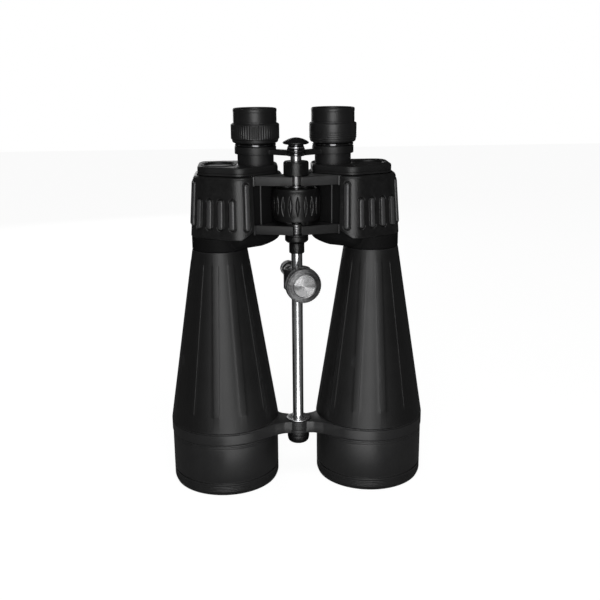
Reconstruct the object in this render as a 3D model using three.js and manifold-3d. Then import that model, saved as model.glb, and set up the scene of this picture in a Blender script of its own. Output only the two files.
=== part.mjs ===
// Large Porro prism binoculars, standing on their objective rims with the eyepieces up.
// Millimetres, +Z up. +X is the user's left half, -X the user's right half, -Y the upper side in use.
// The model is written about the hinge axis and the last group moves it to stand on its own centre.
import * as THREE from 'three';
import { mergeVertices } from 'three/addons/utils/BufferGeometryUtils.js';
import Module from 'manifold-3d';

const wasm = await Module();
wasm.setup();

// Clearances
const seatGap = 0.3;        // between two pieces that rest on or hold each other
const runGap = 0.35;        // between a shaft and the bore that it turns or slides in
const facets = { large: 32, medium: 20, small: 12 };

// Optical layout of one half, seen along the axes
const pupilDistance = 65;   // between the eyepiece axes
const eyeDepth = 23.35;     // eyepiece axis behind the hinge axis
const objectiveHalf = 64.6; // objective axis beside the hinge axis
const objectiveDepth = 15.8;
const prismStep = 23.3;     // sideways shift of the light in each prism

// Hinge, wheel and spindle
const axleRadius = 4.5;
const eyeletRadius = 8.5;   // outside of each hinge eye
const lugSlotHalf = 4.8;    // half the slot that shows the axle
const lugFront = 11;        // lug face in front of the hinge axis
const lugSlope = 22;        // degrees by which the lug face falls back outwards
const lugRootInset = 10;    // the lug's root inside the ridge
const lugRise = 3.3;        // lower lug above the housing's shoulder
const lowerLugHeight = 7.6;
const upperLugHeight = 7.5;
const wheelRadius = 19.8;
const wheelCrown = 1.6;     // wheel's middle stands this much proud of its edges
const wheelBelow = 4.1;     // lower lug to wheel
const wheelAbove = 2.2;     // wheel to upper lug
const fluteCount = 18;
const fluteDepth = 1;
const spindleRadius = 4.5;
const screwRadius = 3;      // threaded lower part of the spindle
const screwRise = 6.6;      // screw's end above the lower lug
const stepRise = 5.8;       // smooth spindle starts this far above the casting
const spindleInCap = 4.6;
const focusTravel = 3.5;    // each way
const travelSpare = 0.8;    // left between arm and collar at the end of the travel
const collarRadius = 10.4;
const collarHeight = 11.5;
const wheelRecess = 1.5;    // clear space round the wheel in the housing

// Prism housing
const ridgeX = 45.5;        // upright front ridge of the housing
const ridgeY = -9.5;
const ridgeRound = 3;
const housingSide = 81.7;   // outer side
const sideFront = 6.5;
const housingBack = 53;
const bushRim = 2.35;       // casting between the guide bush and the hinge's side
const innerFront = 11.5;
const frontRound = 17;      // outer front corner
const backRound = 13;
const innerBackRound = 22;
const innerFrontRound = 8;
const growShare = { ridge: 1.1, front: 0.6, inner: 0.5 };
const floorThickness = 2.5;
const wall = 2;
const neckRadius = 23.3;
const shoulderHeight = 11;
const housingHeight = 51.2; // above the shoulder
const armourThickness = 3.2;
const armourFlare = 1.09;   // the armour is this much wider at its foot
const armourBevel = 3;
const armourInner = 35;     // armour ends here towards the hinge
const coverThickness = 7;
const coverSetback = 0.5;   // cover's edge inside the casting's outline
const coverBevel = 1.2;
const shoulderScale = 0.62; // plan of the shoulder at its foot
const lightPortWall = 2.5;

// Prisms
const prismLength = 38;
const prismWidth = 15;
const prismHeight = 16;
const prismRoom = 4;        // under the lower prism
const shelfThickness = 2;
const clipThickness = 0.8;
const clipWidth = 5;
const portRadius = 7.2;

// Objective barrel, brace and cell
const footStep = 0.5;       // brace and barrel stand this much proud of the cell
const barrelHeight = 151.7;
const barrelWall = 2;
const ribCount = 12;
const ribPhase = 8;         // degrees from the front
const ribWidth = 5;
const ribProud = 0.5;
const ribFootInset = 14.2;  // plain band below the ribs
const ribNeckInset = 10.5;  // and above them
const spigotLength = 8.9;   // of the barrel, below the brace
const braceHeight = 10.6;
const braceEyeRadius = 11;
const braceEyeShare = 0.3;  // of the height, for the left half's eye
const braceArmHalf = 13;
const braceArmFlare = 7;    // the arm widens by this towards the ring
const cellRadius = 46.9;
const cellBottom = 4;
const cellHeight = 42.6;
const cellWall = 3.2;       // round the barrel's spigot
const lensMargin = 6.6;     // lens edge inside the cell's outside
const lipWidth = 1.7;       // the lip that the crown lens rests on
const lipRise = 8;
const crownEdge = 6;
const crownBulge = 4.5;
const flintEdge = 8;
const flintHollow = 0.5;
const lockRingHeight = 3.5;
const rimHeight = 12;
const rimWall = 2.3;
const rimTaper = 1;         // rim drawn in at its foot

// Eyepieces
const tubeRadius = 15.2;
const tubeWall = 1.6;
const tubeDrop = 3.7;       // tube's end below the casting's top
const bushWall = 0.8;
const bushDrop = 5.2;
const armHeight = 6.2;
const armHalfWidth = 5;
const ferruleWall = 2.2;    // ring of the arm round the eyepiece
const hubRadius = 7.4;
const neckRingWall = 1.6;
const neckHeight = 2.8;     // from the arm to the ring
const ocularGap = 0.4;
const ocularWall = 1.2;
const ocularDrop = 7.8;     // ocular's end below the arm
const ringHeight = 16;
const ringFootHeight = 7;   // smooth lower band
const ringStep = 0.7;       // gripped band proud of the smooth one
const ringWall = 1.3;       // round the eyecup
const gripCount = 20;
const gripDepth = 0.35;
const cupStep = 3;          // eyecup proud of the tube
const cupHeight = 14;
const cupSink = 1.8;        // eyecup's foot inside the ring
const cupFloor = 2;
const cupWall = 1.8;
const lensGap = 0.4;
const smallLensEdge = 3;
const eyeLensBulge = 1;
const fieldLensBulge = 1.5;
const lensFlat = 1;         // flat border of a small lens
const eyeLensRise = 10.2;   // above the ring's foot
const fieldLensRise = 4;    // above the ocular's end
const ocularTravel = 1.5;   // each way

// Centre column
const domeRadius = 10.5;
const domeRise = 1.4;       // above the arm
const domeHeight = 7.2;
const lowerHubRadius = 9.8;
const lowerHubHeight = 7;
const rodCollarRadius = 6.4;
const rodCollarHeight = 9;
const rodRadius = 4.7;
const rodInNut = 8.9;
const rodStop = 11.8;       // rod's end below the lower lug
const washerRadius = 10.1;
const washerHeight = 1;
const nutRadius = 9.6;
const nutHeight = 10.5;

// Tripod clamp
const clampDrop = 27;       // below the rod's top
const clampTurn = 8.6;      // degrees round the rod
const clampBushWall = 2;
const clampHeight = 18;
const clampRadius = 11.4;
const clampBoss = 2.5;      // boss that carries the knob
const postRadius = 5.5;
const postReach = 40;
const postFootRadius = 6.8;
const postFootLength = 6;
const socketRadius = 3.2;
const socketDepth = 9;
const knobRadius = 14.8;
const knobThickness = 9;
const knobReach = 29.8;
const knobNeckRadius = 8;
const knobNotches = 16;
const knobNotchDepth = 0.5;
const knobChamfer = 2.2;
const knobScrewRadius = 3;

// Materials
function paint(color, roughness, metalness = 0) {
  return new THREE.MeshStandardMaterial({ color, roughness, metalness });
}
const blackPaint = paint(0x1b1b1c, 0.5);
const crackle = paint(0x151516, 0.65);
const rubber = paint(0x1d1d1e, 0.75);
const innerBlack = paint(0x0c0c0c, 0.9);
const chrome = paint(0xd8d9db, 0.12, 1);
const steel = paint(0xa8a9ab, 0.35, 1);
const aluminium = paint(0xb9babc, 0.3, 1);
const glass = paint(0x9fb7b4, 0.05);

// Turns a geometry's faces outward if its signed volume is negative.
function outward(geometry) {
  const closed = mergeVertices(onlyPositions(geometry), 1e-4);
  const index = withoutSlivers(closed.index.array);
  closed.setIndex(index);
  const p = closed.attributes.position;
  const a = new THREE.Vector3();
  const b = new THREE.Vector3();
  const c = new THREE.Vector3();
  let volume = 0;
  for (let i = 0; i < index.length; i += 3) {
    a.fromBufferAttribute(p, index[i]);
    b.fromBufferAttribute(p, index[i + 1]);
    c.fromBufferAttribute(p, index[i + 2]);
    volume += a.dot(b.cross(c));
  }
  if (volume < 0) {
    closed.setIndex(index.reverse());
  }
  return closed;
}

// Triangles that use one point twice, as at the poles of a turned shape, are left out.
function withoutSlivers(index) {
  const kept = [];
  for (let i = 0; i < index.length; i += 3) {
    const [a, b, c] = [index[i], index[i + 1], index[i + 2]];
    if (a !== b && b !== c && c !== a) {
      kept.push(a, b, c);
    }
  }
  return kept;
}

function onlyPositions(geometry) {
  const copy = geometry.clone();
  copy.deleteAttribute('normal');
  copy.deleteAttribute('uv');
  return copy;
}

function toSolid(geometry) {
  const closed = outward(geometry);
  return new wasm.Manifold(new wasm.Mesh({
    numProp: 3,
    vertProperties: new Float32Array(closed.attributes.position.array),
    triVerts: new Uint32Array(closed.index.array),
  }));
}

function toGeometry(solid) {
  const mesh = solid.getMesh();
  const geometry = new THREE.BufferGeometry();
  geometry.setAttribute('position', new THREE.BufferAttribute(mesh.vertProperties, 3));
  geometry.setIndex(new THREE.BufferAttribute(mesh.triVerts, 1));
  return geometry;
}

// base plus the geometries in added, less those in cut
function carve(base, added, cut) {
  let solid = toSolid(base);
  for (const geometry of added) {
    solid = solid.add(toSolid(geometry));
  }
  for (const geometry of cut) {
    solid = solid.subtract(toSolid(geometry));
  }
  return toGeometry(solid);
}

// Solid of revolution about Z from [radius, z] points. The outline closes on itself, unless it
// starts and ends on the axis.
function turned(points, segments = facets.medium, x = 0, y = 0) {
  const outline = points.map(([r, z]) => new THREE.Vector2(r, z));
  if (points[0][0] > 0) {
    outline.push(outline[0].clone());
  }
  const geometry = new THREE.LatheGeometry(outline, segments);
  geometry.rotateX(Math.PI / 2);
  geometry.translate(x, y, 0);
  return geometry;
}

// Disc or cylinder about Z
function drum(radius, bottom, height, segments = facets.medium, x = 0, y = 0) {
  return turned([[0, bottom], [radius, bottom], [radius, bottom + height], [0, bottom + height]],
    segments, x, y);
}

// Tube about Z
function pipe(inner, outer, bottom, height, segments = facets.medium, x = 0, y = 0) {
  const top = bottom + height;
  return turned([[inner, bottom], [outer, bottom], [outer, top], [inner, top]], segments, x, y);
}

function slab(x0, x1, y0, y1, z0, z1) {
  const geometry = new THREE.BoxGeometry(x1 - x0, y1 - y0, z1 - z0);
  geometry.translate((x0 + x1) / 2, (y0 + y1) / 2, (z0 + z1) / 2);
  return geometry;
}

// Shape through corners [x, y, radius], each rounded by an arc
function roundedShape(corners) {
  const shape = new THREE.Shape();
  corners.forEach(([x, y, radius], i) => {
    const corner = new THREE.Vector2(x, y);
    const [px, py] = corners[(i + corners.length - 1) % corners.length];
    const [nx, ny] = corners[(i + 1) % corners.length];
    const back = new THREE.Vector2(px - x, py - y).normalize();
    const ahead = new THREE.Vector2(nx - x, ny - y).normalize();
    const half = Math.acos(back.dot(ahead)) / 2;
    const reach = radius / Math.tan(half);
    const start = corner.clone().addScaledVector(back, reach);
    const end = corner.clone().addScaledVector(ahead, reach);
    if (i === 0) {
      shape.moveTo(start.x, start.y);
    } else {
      shape.lineTo(start.x, start.y);
    }
    shape.quadraticCurveTo(x, y, end.x, end.y);
  });
  shape.closePath();
  return shape;
}

// Upright prism of a rounded shape; its top edge is drawn in by bevel on its way up.
function upright(corners, bottom, height, curveSegments = 5, bevel = 0) {
  const geometry = new THREE.ExtrudeGeometry(roundedShape(corners), {
    depth: height, bevelEnabled: false, curveSegments, steps: bevel > 0 ? 2 : 1,
  });
  if (bevel > 0) {
    drawInTop(geometry, height, bevel);
  }
  geometry.translate(0, 0, bottom);
  return geometry;
}

function drawInTop(geometry, height, bevel) {
  const p = geometry.attributes.position;
  geometry.computeBoundingBox();
  const middle = geometry.boundingBox.getCenter(new THREE.Vector3());
  const across = geometry.boundingBox.max.x - middle.x;
  const scale = 1 - bevel / across;
  for (let i = 0; i < p.count; i += 1) {
    const z = p.getZ(i);
    if (z > height * 0.75) {
      p.setXY(i, middle.x + (p.getX(i) - middle.x) * scale, middle.y + (p.getY(i) - middle.y) * scale);
    } else if (z > height * 0.25) {
      p.setZ(i, height - bevel);
    }
  }
}

// Corners of the prism housing's plan, pushed out by grow: the front ridge, the two outer corners and
// the two inner ones. Corner radii grow with them.
function housingPlan(grow) {
  return [
    [ridgeX, ridgeY - grow * growShare.ridge, ridgeRound],
    [housingSide + grow, sideFront - grow * growShare.front, frontRound + grow],
    [housingSide + grow, housingBack + grow, backRound + grow],
    [housingInner - grow, housingBack + grow, innerBackRound + grow],
    [housingInner - grow, innerFront - grow * growShare.inner, innerFrontRound + grow],
  ];
}

// Moves points sideways with height: the scale about (x, y) runs from low at z0 to 1 at z1.
function tapered(geometry, z0, z1, low, x, y) {
  const p = geometry.attributes.position;
  for (let i = 0; i < p.count; i += 1) {
    const t = THREE.MathUtils.clamp((p.getZ(i) - z0) / (z1 - z0), 0, 1);
    const scale = low + (1 - low) * t;
    p.setXY(i, x + (p.getX(i) - x) * scale, y + (p.getY(i) - y) * scale);
  }
  return geometry;
}

function mirroredX(geometry) {
  const copy = onlyPositions(geometry);
  copy.scale(-1, 1, 1);
  return copy;
}

// Derived places
const eyeX = pupilDistance / 2;
const bushInner = tubeRadius + runGap;
const bushOuter = bushInner + bushWall;
const housingInner = eyeX - bushOuter - bushRim;
const footRadius = cellRadius + footStep;
const spigotRadius = cellRadius - cellWall - seatGap;
const lensRadius = cellRadius - lensMargin;
const lipRadius = lensRadius - lipWidth;
const rimInner = cellRadius - rimWall;
const cellTop = cellBottom + cellHeight;
const lipLevel = cellBottom + lipRise;
const braceBottom = cellTop + seatGap;
const braceTop = braceBottom + braceHeight;
const footLevel = braceTop + seatGap;
const spigotBottom = braceBottom - spigotLength;
const neckTop = footLevel + barrelHeight;
const ribBottom = footLevel + ribFootInset;
const ribTop = neckTop - ribNeckInset;
const shoulderTop = neckTop + shoulderHeight;
const housingTop = shoulderTop + housingHeight;
const upperLugBottom = housingTop - upperLugHeight;
const lowerLugBottom = shoulderTop + lugRise;
const lowerLugTop = lowerLugBottom + lowerLugHeight;
const wheelBottom = lowerLugTop + wheelBelow;
const wheelTop = upperLugBottom - wheelAbove;
const wheelEdgeRadius = wheelRadius - wheelCrown;
const cavityFloor = shoulderTop + floorThickness;
const cavityInset = -wall;
const coverBottom = housingTop + seatGap;
const coverTop = coverBottom + coverThickness;
const shelfLevel = cavityFloor + prismHeight + prismRoom;
const shelfTop = shelfLevel + shelfThickness;
const tubeInner = tubeRadius - tubeWall;
const tubeBottom = housingTop - tubeDrop;
const ferruleRadius = tubeRadius + ferruleWall;
const neckRingRadius = tubeRadius + neckRingWall;
const bushBottom = housingTop - bushDrop;
const collarTop = housingTop + seatGap + collarHeight;
const armBottom = collarTop + focusTravel + travelSpare;
const armTop = armBottom + armHeight;
const ringBottom = armTop + neckHeight;
const ringTop = ringBottom + ringHeight;
const cupRadius = tubeRadius + cupStep;
const cupBottom = ringTop - cupSink;
const ocularRadius = tubeInner - ocularGap;
const ocularBottom = armBottom - ocularDrop;
const ocularTop = cupBottom + cupFloor + 1;
const domeBottom = armTop + domeRise;
const spindleTop = domeBottom + spindleInCap;
const rodTop = lowerLugBottom - rodStop;
const clampLevel = rodTop - clampDrop;
const bossReach = clampRadius + clampBoss;
const middleLight = middlePlace();

// Where the light runs between the two prisms: behind the line from objective to eyepiece
function middlePlace() {
  const dx = eyeX - objectiveHalf;
  const dy = eyeDepth - objectiveDepth;
  const half = Math.hypot(dx, dy) / 2;
  const off = Math.sqrt(Math.max(prismStep ** 2 - half ** 2, 0));
  return {
    x: objectiveHalf + dx / 2 + (dy / (2 * half)) * off,
    y: objectiveDepth + dy / 2 - (dx / (2 * half)) * off,
  };
}

// Hinge lug: a plate towards the hinge with an eye over half its height. The other half's eye turns
// in the space left in it. A slot at the front shows the axle.
function lugPlan() {
  const fall = Math.tan(THREE.MathUtils.degToRad(lugSlope));
  const root = ridgeX - lugRootInset;
  return [
    [lugSlotHalf, -lugFront, 0.4],
    [root, -lugFront + (root - lugSlotHalf) * fall, 0.4],
    [root, objectiveDepth, 0.4],
    [root, eyeDepth, 0.4],
    [lugSlotHalf, eyeletRadius, 0.4],
  ];
}

function eyeLevels(bottom, height, lower) {
  const middle = bottom + height / 2;
  const half = height / 2 - seatGap / 2;
  const low = { bottom, height: half };
  const high = { bottom: middle + seatGap / 2, height: half };
  return lower ? { own: low, other: high } : { own: high, other: low };
}

function lugPieces(bottom, height, lower) {
  const { own, other } = eyeLevels(bottom, height, lower);
  const reach = eyeletRadius + runGap;
  return {
    added: [
      upright(lugPlan(), bottom, height, 1),
      drum(eyeletRadius, own.bottom, own.height),
    ],
    cut: [
      drum(reach, other.bottom - seatGap, other.height + 2 * seatGap),
      drum(axleRadius + runGap, bottom - 1, height + 2, facets.small),
      slab(-lugSlotHalf, lugSlotHalf, -lugFront - 1, 0, bottom - 1, bottom + height + 1),
    ],
  };
}

function wheelSpace(extra) {
  const bottom = lowerLugTop - extra;
  const height = upperLugBottom + extra - bottom;
  return drum(wheelRadius + wheelRecess + extra, bottom, height);
}

function prismHousing(isRight) {
  const upper = lugPieces(upperLugBottom, upperLugHeight, isRight);
  const lower = lugPieces(lowerLugBottom, lowerLugHeight, !isRight);
  const shoulderFoot = neckTop + seatGap;
  const shoulder = tapered(
    upright(housingPlan(coverSetback), shoulderFoot + 2, shoulderTop - shoulderFoot - 2),
    shoulderFoot, shoulderTop, shoulderScale, objectiveHalf, objectiveDepth);
  const cavity = carve(upright(housingPlan(cavityInset), cavityFloor, housingTop), [],
    [wheelSpace(wall)]);
  return carve(
    upright(housingPlan(0), shoulderTop, housingTop - shoulderTop),
    [shoulder,
      drum(neckRadius, shoulderFoot, shoulderTop - shoulderFoot, facets.medium, objectiveHalf,
        objectiveDepth),
      ...upper.added, ...lower.added],
    [wheelSpace(0), ...upper.cut, ...lower.cut, cavity,
      drum(neckRadius - lightPortWall, shoulderFoot - 1, cavityFloor - shoulderFoot + 2,
        facets.small, objectiveHalf, objectiveDepth)],
  );
}

function armour() {
  const bottom = shoulderTop + seatGap;
  const outer = tapered(
    upright(housingPlan(armourThickness), bottom, housingTop - bottom, 5, armourBevel),
    bottom, housingTop, armourFlare, ridgeX, eyeDepth);
  return carve(outer, [], [
    upright(housingPlan(seatGap), bottom - 1, housingTop - bottom + 2),
    slab(0, armourInner, -footRadius, housingBack / 2, bottom - 1, housingTop + 1),
  ]);
}

function coverPlate() {
  return carve(
    upright(housingPlan(-coverSetback), coverBottom, coverThickness, 5, coverBevel), [],
    [drum(bushOuter + seatGap, coverBottom - 1, coverThickness + 2, facets.medium, eyeX, eyeDepth)],
  );
}

function guideBush() {
  return pipe(bushInner, bushOuter, bushBottom, coverTop - bushBottom, facets.medium, eyeX, eyeDepth);
}

// Prism: its long face lies flat on the shelf and its blunted ridge points away from it.
function prism(from, to, upwards) {
  const half = prismLength / 2;
  const ridge = half - prismHeight;
  const outline = [[-half, seatGap, 0.05], [half, seatGap, 0.05], [ridge, prismHeight, 0.05],
    [-ridge, prismHeight, 0.05]];
  return placedAcross(outline, prismWidth, from, to, upwards);
}

// Spring strap over a prism's ridge
function clip(from, to, upwards) {
  const half = prismLength / 2;
  const ridge = half - prismHeight;
  const near = seatGap * 1.5;
  const far = near + clipThickness * 1.5;
  const top = prismHeight + seatGap;
  const outline = [
    [-half - far, seatGap, 0.05], [-half - near, seatGap, 0.05], [-ridge - near, top, 0.05],
    [ridge + near, top, 0.05], [half + near, seatGap, 0.05], [half + far, seatGap, 0.05],
    [ridge + far, top + clipThickness, 0.05], [-ridge - far, top + clipThickness, 0.05]];
  return placedAcross(outline, clipWidth, from, to, upwards);
}

// Extrudes an outline (along, height) by width, midway between two light paths on the shelf.
function placedAcross(outline, width, from, to, upwards) {
  const geometry = new THREE.ExtrudeGeometry(roundedShape(outline), {
    depth: width, bevelEnabled: false, curveSegments: 1,
  });
  geometry.translate(0, 0, -width / 2);
  geometry.rotateX(upwards ? Math.PI / 2 : -Math.PI / 2);
  geometry.rotateZ(Math.atan2(to.y - from.y, to.x - from.x));
  geometry.translate((from.x + to.x) / 2, (from.y + to.y) / 2,
    upwards ? shelfTop : shelfLevel);
  return geometry;
}

function prismShelf() {
  const port = (x, y) => drum(portRadius, shelfLevel - 1, shelfThickness + 2, facets.small, x, y);
  return carve(
    upright(housingPlan(cavityInset - seatGap), shelfLevel, shelfThickness, 3), [],
    [wheelSpace(wall + seatGap), port(objectiveHalf, objectiveDepth), port(eyeX, eyeDepth),
      port(middleLight.x, middleLight.y)],
  );
}

// Radius of the barrel's cone at a height
function coneRadius(z) {
  const t = (z - footLevel) / (neckTop - footLevel);
  return footRadius + (neckRadius - footRadius) * t;
}

function objectiveBarrel() {
  const cone = turned([
    [footRadius, footLevel],
    [neckRadius, neckTop],
    [neckRadius - barrelWall, neckTop],
    [spigotRadius - barrelWall, footLevel + 2 * barrelWall],
    [spigotRadius - barrelWall, spigotBottom],
    [spigotRadius, spigotBottom],
    [spigotRadius, footLevel],
  ], facets.large);
  const core = turned([
    [0, ribBottom - 2],
    [coneRadius(ribBottom) - barrelWall / 2, ribBottom - 2],
    [coneRadius(ribTop) - barrelWall / 2, ribTop + 2],
    [0, ribTop + 2],
  ], facets.large);
  const ribs = [];
  for (let i = 0; i < ribCount; i += 1) {
    ribs.push(barrelRib(i));
  }
  const raised = carve(ribs[0], ribs.slice(1), [core]);
  const geometry = carve(cone, [raised], []);
  geometry.translate(objectiveHalf, objectiveDepth, 0);
  return geometry;
}

// One raised rib along the cone, of constant width
function barrelRib(i) {
  const low = coneRadius(ribBottom);
  const high = coneRadius(ribTop);
  const shape = new THREE.Shape([
    new THREE.Vector2(low - barrelWall, ribBottom),
    new THREE.Vector2(low + ribProud, ribBottom),
    new THREE.Vector2(high + ribProud, ribTop),
    new THREE.Vector2(high - barrelWall, ribTop),
  ]);
  const geometry = new THREE.ExtrudeGeometry(shape, {
    depth: ribWidth, bevelEnabled: false, curveSegments: 1,
  });
  geometry.translate(0, 0, -ribWidth / 2);
  geometry.rotateX(Math.PI / 2);
  const fromFront = THREE.MathUtils.degToRad(ribPhase - 90 + (i * 360) / ribCount);
  geometry.rotateZ(fromFront);
  return geometry;
}

// Ring round the barrel's foot with its arm and eye on the rod. The left half's eye lies under the
// right half's, which is the longer one.
function brace(isRight) {
  const split = braceBottom + braceHeight * braceEyeShare;
  const low = [braceBottom, split - seatGap / 2];
  const high = [split + seatGap / 2, braceTop];
  const own = isRight ? high : low;
  const other = isRight ? low : high;
  const root = objectiveHalf - footRadius / 2;
  const arm = upright([
    [braceEyeRadius / 2, -braceEyeRadius * 0.8, 0.4],
    [braceEyeRadius * 1.3, -braceArmHalf, 1],
    [root, -braceArmHalf - braceArmFlare, 0.4],
    [root, objectiveDepth + footRadius / 2, 0.4],
    [braceEyeRadius * 1.3, braceArmHalf + 2, 1],
    [braceEyeRadius / 2, braceEyeRadius * 0.8, 0.4],
  ], braceBottom, braceHeight, 1);
  return carve(
    drum(footRadius, braceBottom, braceHeight, facets.large, objectiveHalf, objectiveDepth),
    [arm, drum(braceEyeRadius, own[0], own[1] - own[0])],
    [drum(spigotRadius + seatGap, braceBottom - 1, braceHeight + 2, facets.large, objectiveHalf,
      objectiveDepth),
      drum(rodRadius + runGap, braceBottom - 1, braceHeight + 2, facets.small),
      drum(braceEyeRadius + runGap, other[0] - seatGap, other[1] - other[0] + 2 * seatGap)],
  );
}

function aboutObjective(points, segments = facets.large) {
  return turned(points, segments, objectiveHalf, objectiveDepth);
}

function aboutEye(points, segments = facets.medium) {
  return turned(points, segments, eyeX, eyeDepth);
}

function objectiveCell() {
  const seat = spigotBottom - seatGap;
  const shoulder = rimHeight + seatGap;
  const rimSeat = rimInner - seatGap;
  const bore = lensRadius + seatGap;
  const socket = spigotRadius + seatGap;
  return aboutObjective([
    [lipRadius, cellBottom], [rimSeat, cellBottom], [rimSeat, shoulder], [cellRadius, shoulder],
    [cellRadius, cellTop], [socket, cellTop], [socket, seat], [bore, seat], [bore, lipLevel],
    [lipRadius, lipLevel],
  ]);
}

// Rubber ring under the cell, on which the binoculars stand
function objectiveRim() {
  const under = cellBottom - seatGap;
  return aboutObjective([
    [lipRadius, 0], [cellRadius - rimTaper, 0], [cellRadius, rimHeight / 2],
    [cellRadius, rimHeight],
    [rimInner, rimHeight], [rimInner, under], [lipRadius, under],
  ]);
}

// Lens from edge level to edge level + thickness. low and high say how far its faces bulge
// downwards and upwards; a negative value is a hollow.
function lensOutline(radius, flatFrom, level, thickness, low, high) {
  const steps = 2;
  const points = [];
  for (let i = 0; i <= steps; i += 1) {
    const r = (flatFrom * i) / steps;
    points.push([r, level - low * (1 - (i / steps) ** 2)]);
  }
  points.push([radius, level], [radius, level + thickness]);
  for (let i = steps; i >= 0; i -= 1) {
    const r = (flatFrom * i) / steps;
    points.push([r, level + thickness + high * (1 - (i / steps) ** 2)]);
  }
  return points;
}

const crownLevel = lipLevel + seatGap;
const flintLevel = crownLevel + crownEdge + seatGap;

function crownLens() {
  return aboutObjective(lensOutline(lensRadius, lipRadius, crownLevel, crownEdge, crownBulge,
    crownBulge), facets.medium);
}

function flintLens() {
  return aboutObjective(lensOutline(lensRadius, lipRadius, flintLevel, flintEdge, -crownBulge,
    -flintHollow), facets.medium);
}

function lockRing() {
  const bottom = flintLevel + flintEdge + seatGap;
  return pipe(lipRadius, lensRadius, bottom, lockRingHeight, facets.medium, objectiveHalf,
    objectiveDepth);
}

// Eyepieces

// Arm from the spindle to the eyepiece; its two halves lap at the spindle as the hinge lugs do.
function eyepieceArm(isRight) {
  const { own, other } = eyeLevels(armBottom, armHeight, isRight);
  const reach = Math.hypot(eyeX, eyeDepth);
  const bar = upright([
    [hubRadius / 2, -armHalfWidth, 0.4], [reach - tubeRadius, -armHalfWidth, 0.4],
    [reach - tubeRadius, armHalfWidth, 0.4], [hubRadius / 2, armHalfWidth, 0.4],
  ], armBottom, armHeight, 1);
  bar.rotateZ(Math.atan2(eyeDepth, eyeX));
  return carve(bar, [
    drum(hubRadius, own.bottom, own.height),
    drum(ferruleRadius, armBottom, armHeight, facets.medium, eyeX, eyeDepth),
  ], [
    drum(hubRadius + runGap, other.bottom - seatGap, other.height + 2 * seatGap),
    drum(spindleRadius + seatGap, armBottom - 1, armHeight + 2, facets.small),
    drum(tubeRadius + seatGap, armBottom - 1, armHeight + 2, facets.medium, eyeX, eyeDepth),
  ]);
}

function carriageTube() {
  const flange = armTop + seatGap;
  const top = ringBottom + 4;
  return aboutEye([
    [tubeInner, tubeBottom], [tubeRadius, tubeBottom], [tubeRadius, flange],
    [neckRingRadius, flange], [neckRingRadius, ringBottom - seatGap],
    [tubeRadius, ringBottom - seatGap], [tubeRadius, top], [tubeInner, top],
  ]);
}

function ocularTube() {
  const inner = ocularRadius - ocularWall;
  return aboutEye([
    [inner, ocularBottom], [ocularRadius, ocularBottom], [ocularRadius, ocularTop],
    [inner, ocularTop],
  ]);
}

function smallLens(level, bulge) {
  const radius = ocularRadius - ocularWall - lensGap;
  return aboutEye(
    lensOutline(radius, radius - lensFlat, level, smallLensEdge, bulge, bulge), facets.small);
}

// Ring round the eyepiece. With grip, its upper band is ribbed.
function eyepieceRing(grip) {
  const footRing = cupRadius + ringWall;
  const gripRing = footRing + ringStep;
  const inner = tubeRadius + runGap;
  const cupSpace = cupRadius + runGap;
  const gripBottom = ringBottom + ringFootHeight;
  const geometry = turned([
    [inner, ringBottom], [footRing - 1, ringBottom], [footRing, ringBottom + 1.5],
    [footRing, gripBottom], [gripRing, gripBottom + 2], [gripRing, ringTop - 2],
    [footRing, ringTop], [cupSpace, ringTop], [cupSpace, cupBottom - ocularTravel - 2 * seatGap],
    [inner, cupBottom - ocularTravel - 2 * seatGap],
  ], grip ? 2 * gripCount : facets.large);
  if (grip) {
    pressed(geometry, gripCount, gripDepth, (r, z) => r > gripRing - 0.1 && z > gripBottom);
  }
  geometry.translate(eyeX, eyeDepth, 0);
  return geometry;
}

// Presses count hollows round a turned shape, where the test holds.
function pressed(geometry, count, depth, test) {
  const p = geometry.attributes.position;
  for (let i = 0; i < p.count; i += 1) {
    const r = Math.hypot(p.getX(i), p.getY(i));
    if (test(r, p.getZ(i))) {
      const wave = Math.cos(count * Math.atan2(p.getY(i), p.getX(i)));
      const scale = (r - depth * Math.max(0, wave)) / r;
      p.setXY(i, p.getX(i) * scale, p.getY(i) * scale);
    }
  }
}

function eyecup() {
  const top = cupBottom + cupHeight;
  const inner = ocularRadius + seatGap;
  return aboutEye([
    [inner, cupBottom], [cupRadius, cupBottom], [cupRadius, top - 1], [cupRadius - 0.6, top],
    [cupRadius - cupWall, top], [cupRadius - cupWall, cupBottom + cupFloor],
    [inner, cupBottom + cupFloor],
  ]);
}

// Centre column

function focusWheel() {
  const height = wheelTop - wheelBottom;
  const middle = wheelBottom + height / 2;
  const bore = screwRadius + runGap;
  const boss = axleRadius + 0.5;
  const third = height / 3;
  const geometry = turned([
    [bore, lowerLugTop + seatGap], [boss, lowerLugTop + seatGap], [boss, wheelBottom],
    [wheelEdgeRadius, wheelBottom], [wheelRadius, middle - third], [wheelRadius, middle + third],
    [wheelEdgeRadius, wheelTop], [boss, wheelTop],
    [boss, upperLugBottom - seatGap], [bore, upperLugBottom - seatGap],
  ], 3 * fluteCount);
  pressed(geometry, fluteCount, fluteDepth, (r) => r > wheelRadius - wheelCrown / 4);
  return geometry;
}

function focusSpindle() {
  const screwBottom = lowerLugTop + screwRise;
  const spindleStep = housingTop + stepRise;
  return turned([
    [0, screwBottom], [screwRadius, screwBottom], [screwRadius, spindleStep],
    [spindleRadius, spindleStep], [spindleRadius, spindleTop], [0, spindleTop],
  ], facets.small);
}

function upperBush() {
  return pipe(screwRadius + runGap, axleRadius, upperLugBottom, upperLugHeight, facets.small);
}

function lowerPin() {
  const bottom = rodTop + seatGap;
  return drum(axleRadius, bottom, lowerLugTop - bottom, facets.small);
}

function hingeCollar() {
  return pipe(spindleRadius + runGap, collarRadius, housingTop + seatGap, collarHeight);
}

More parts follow.
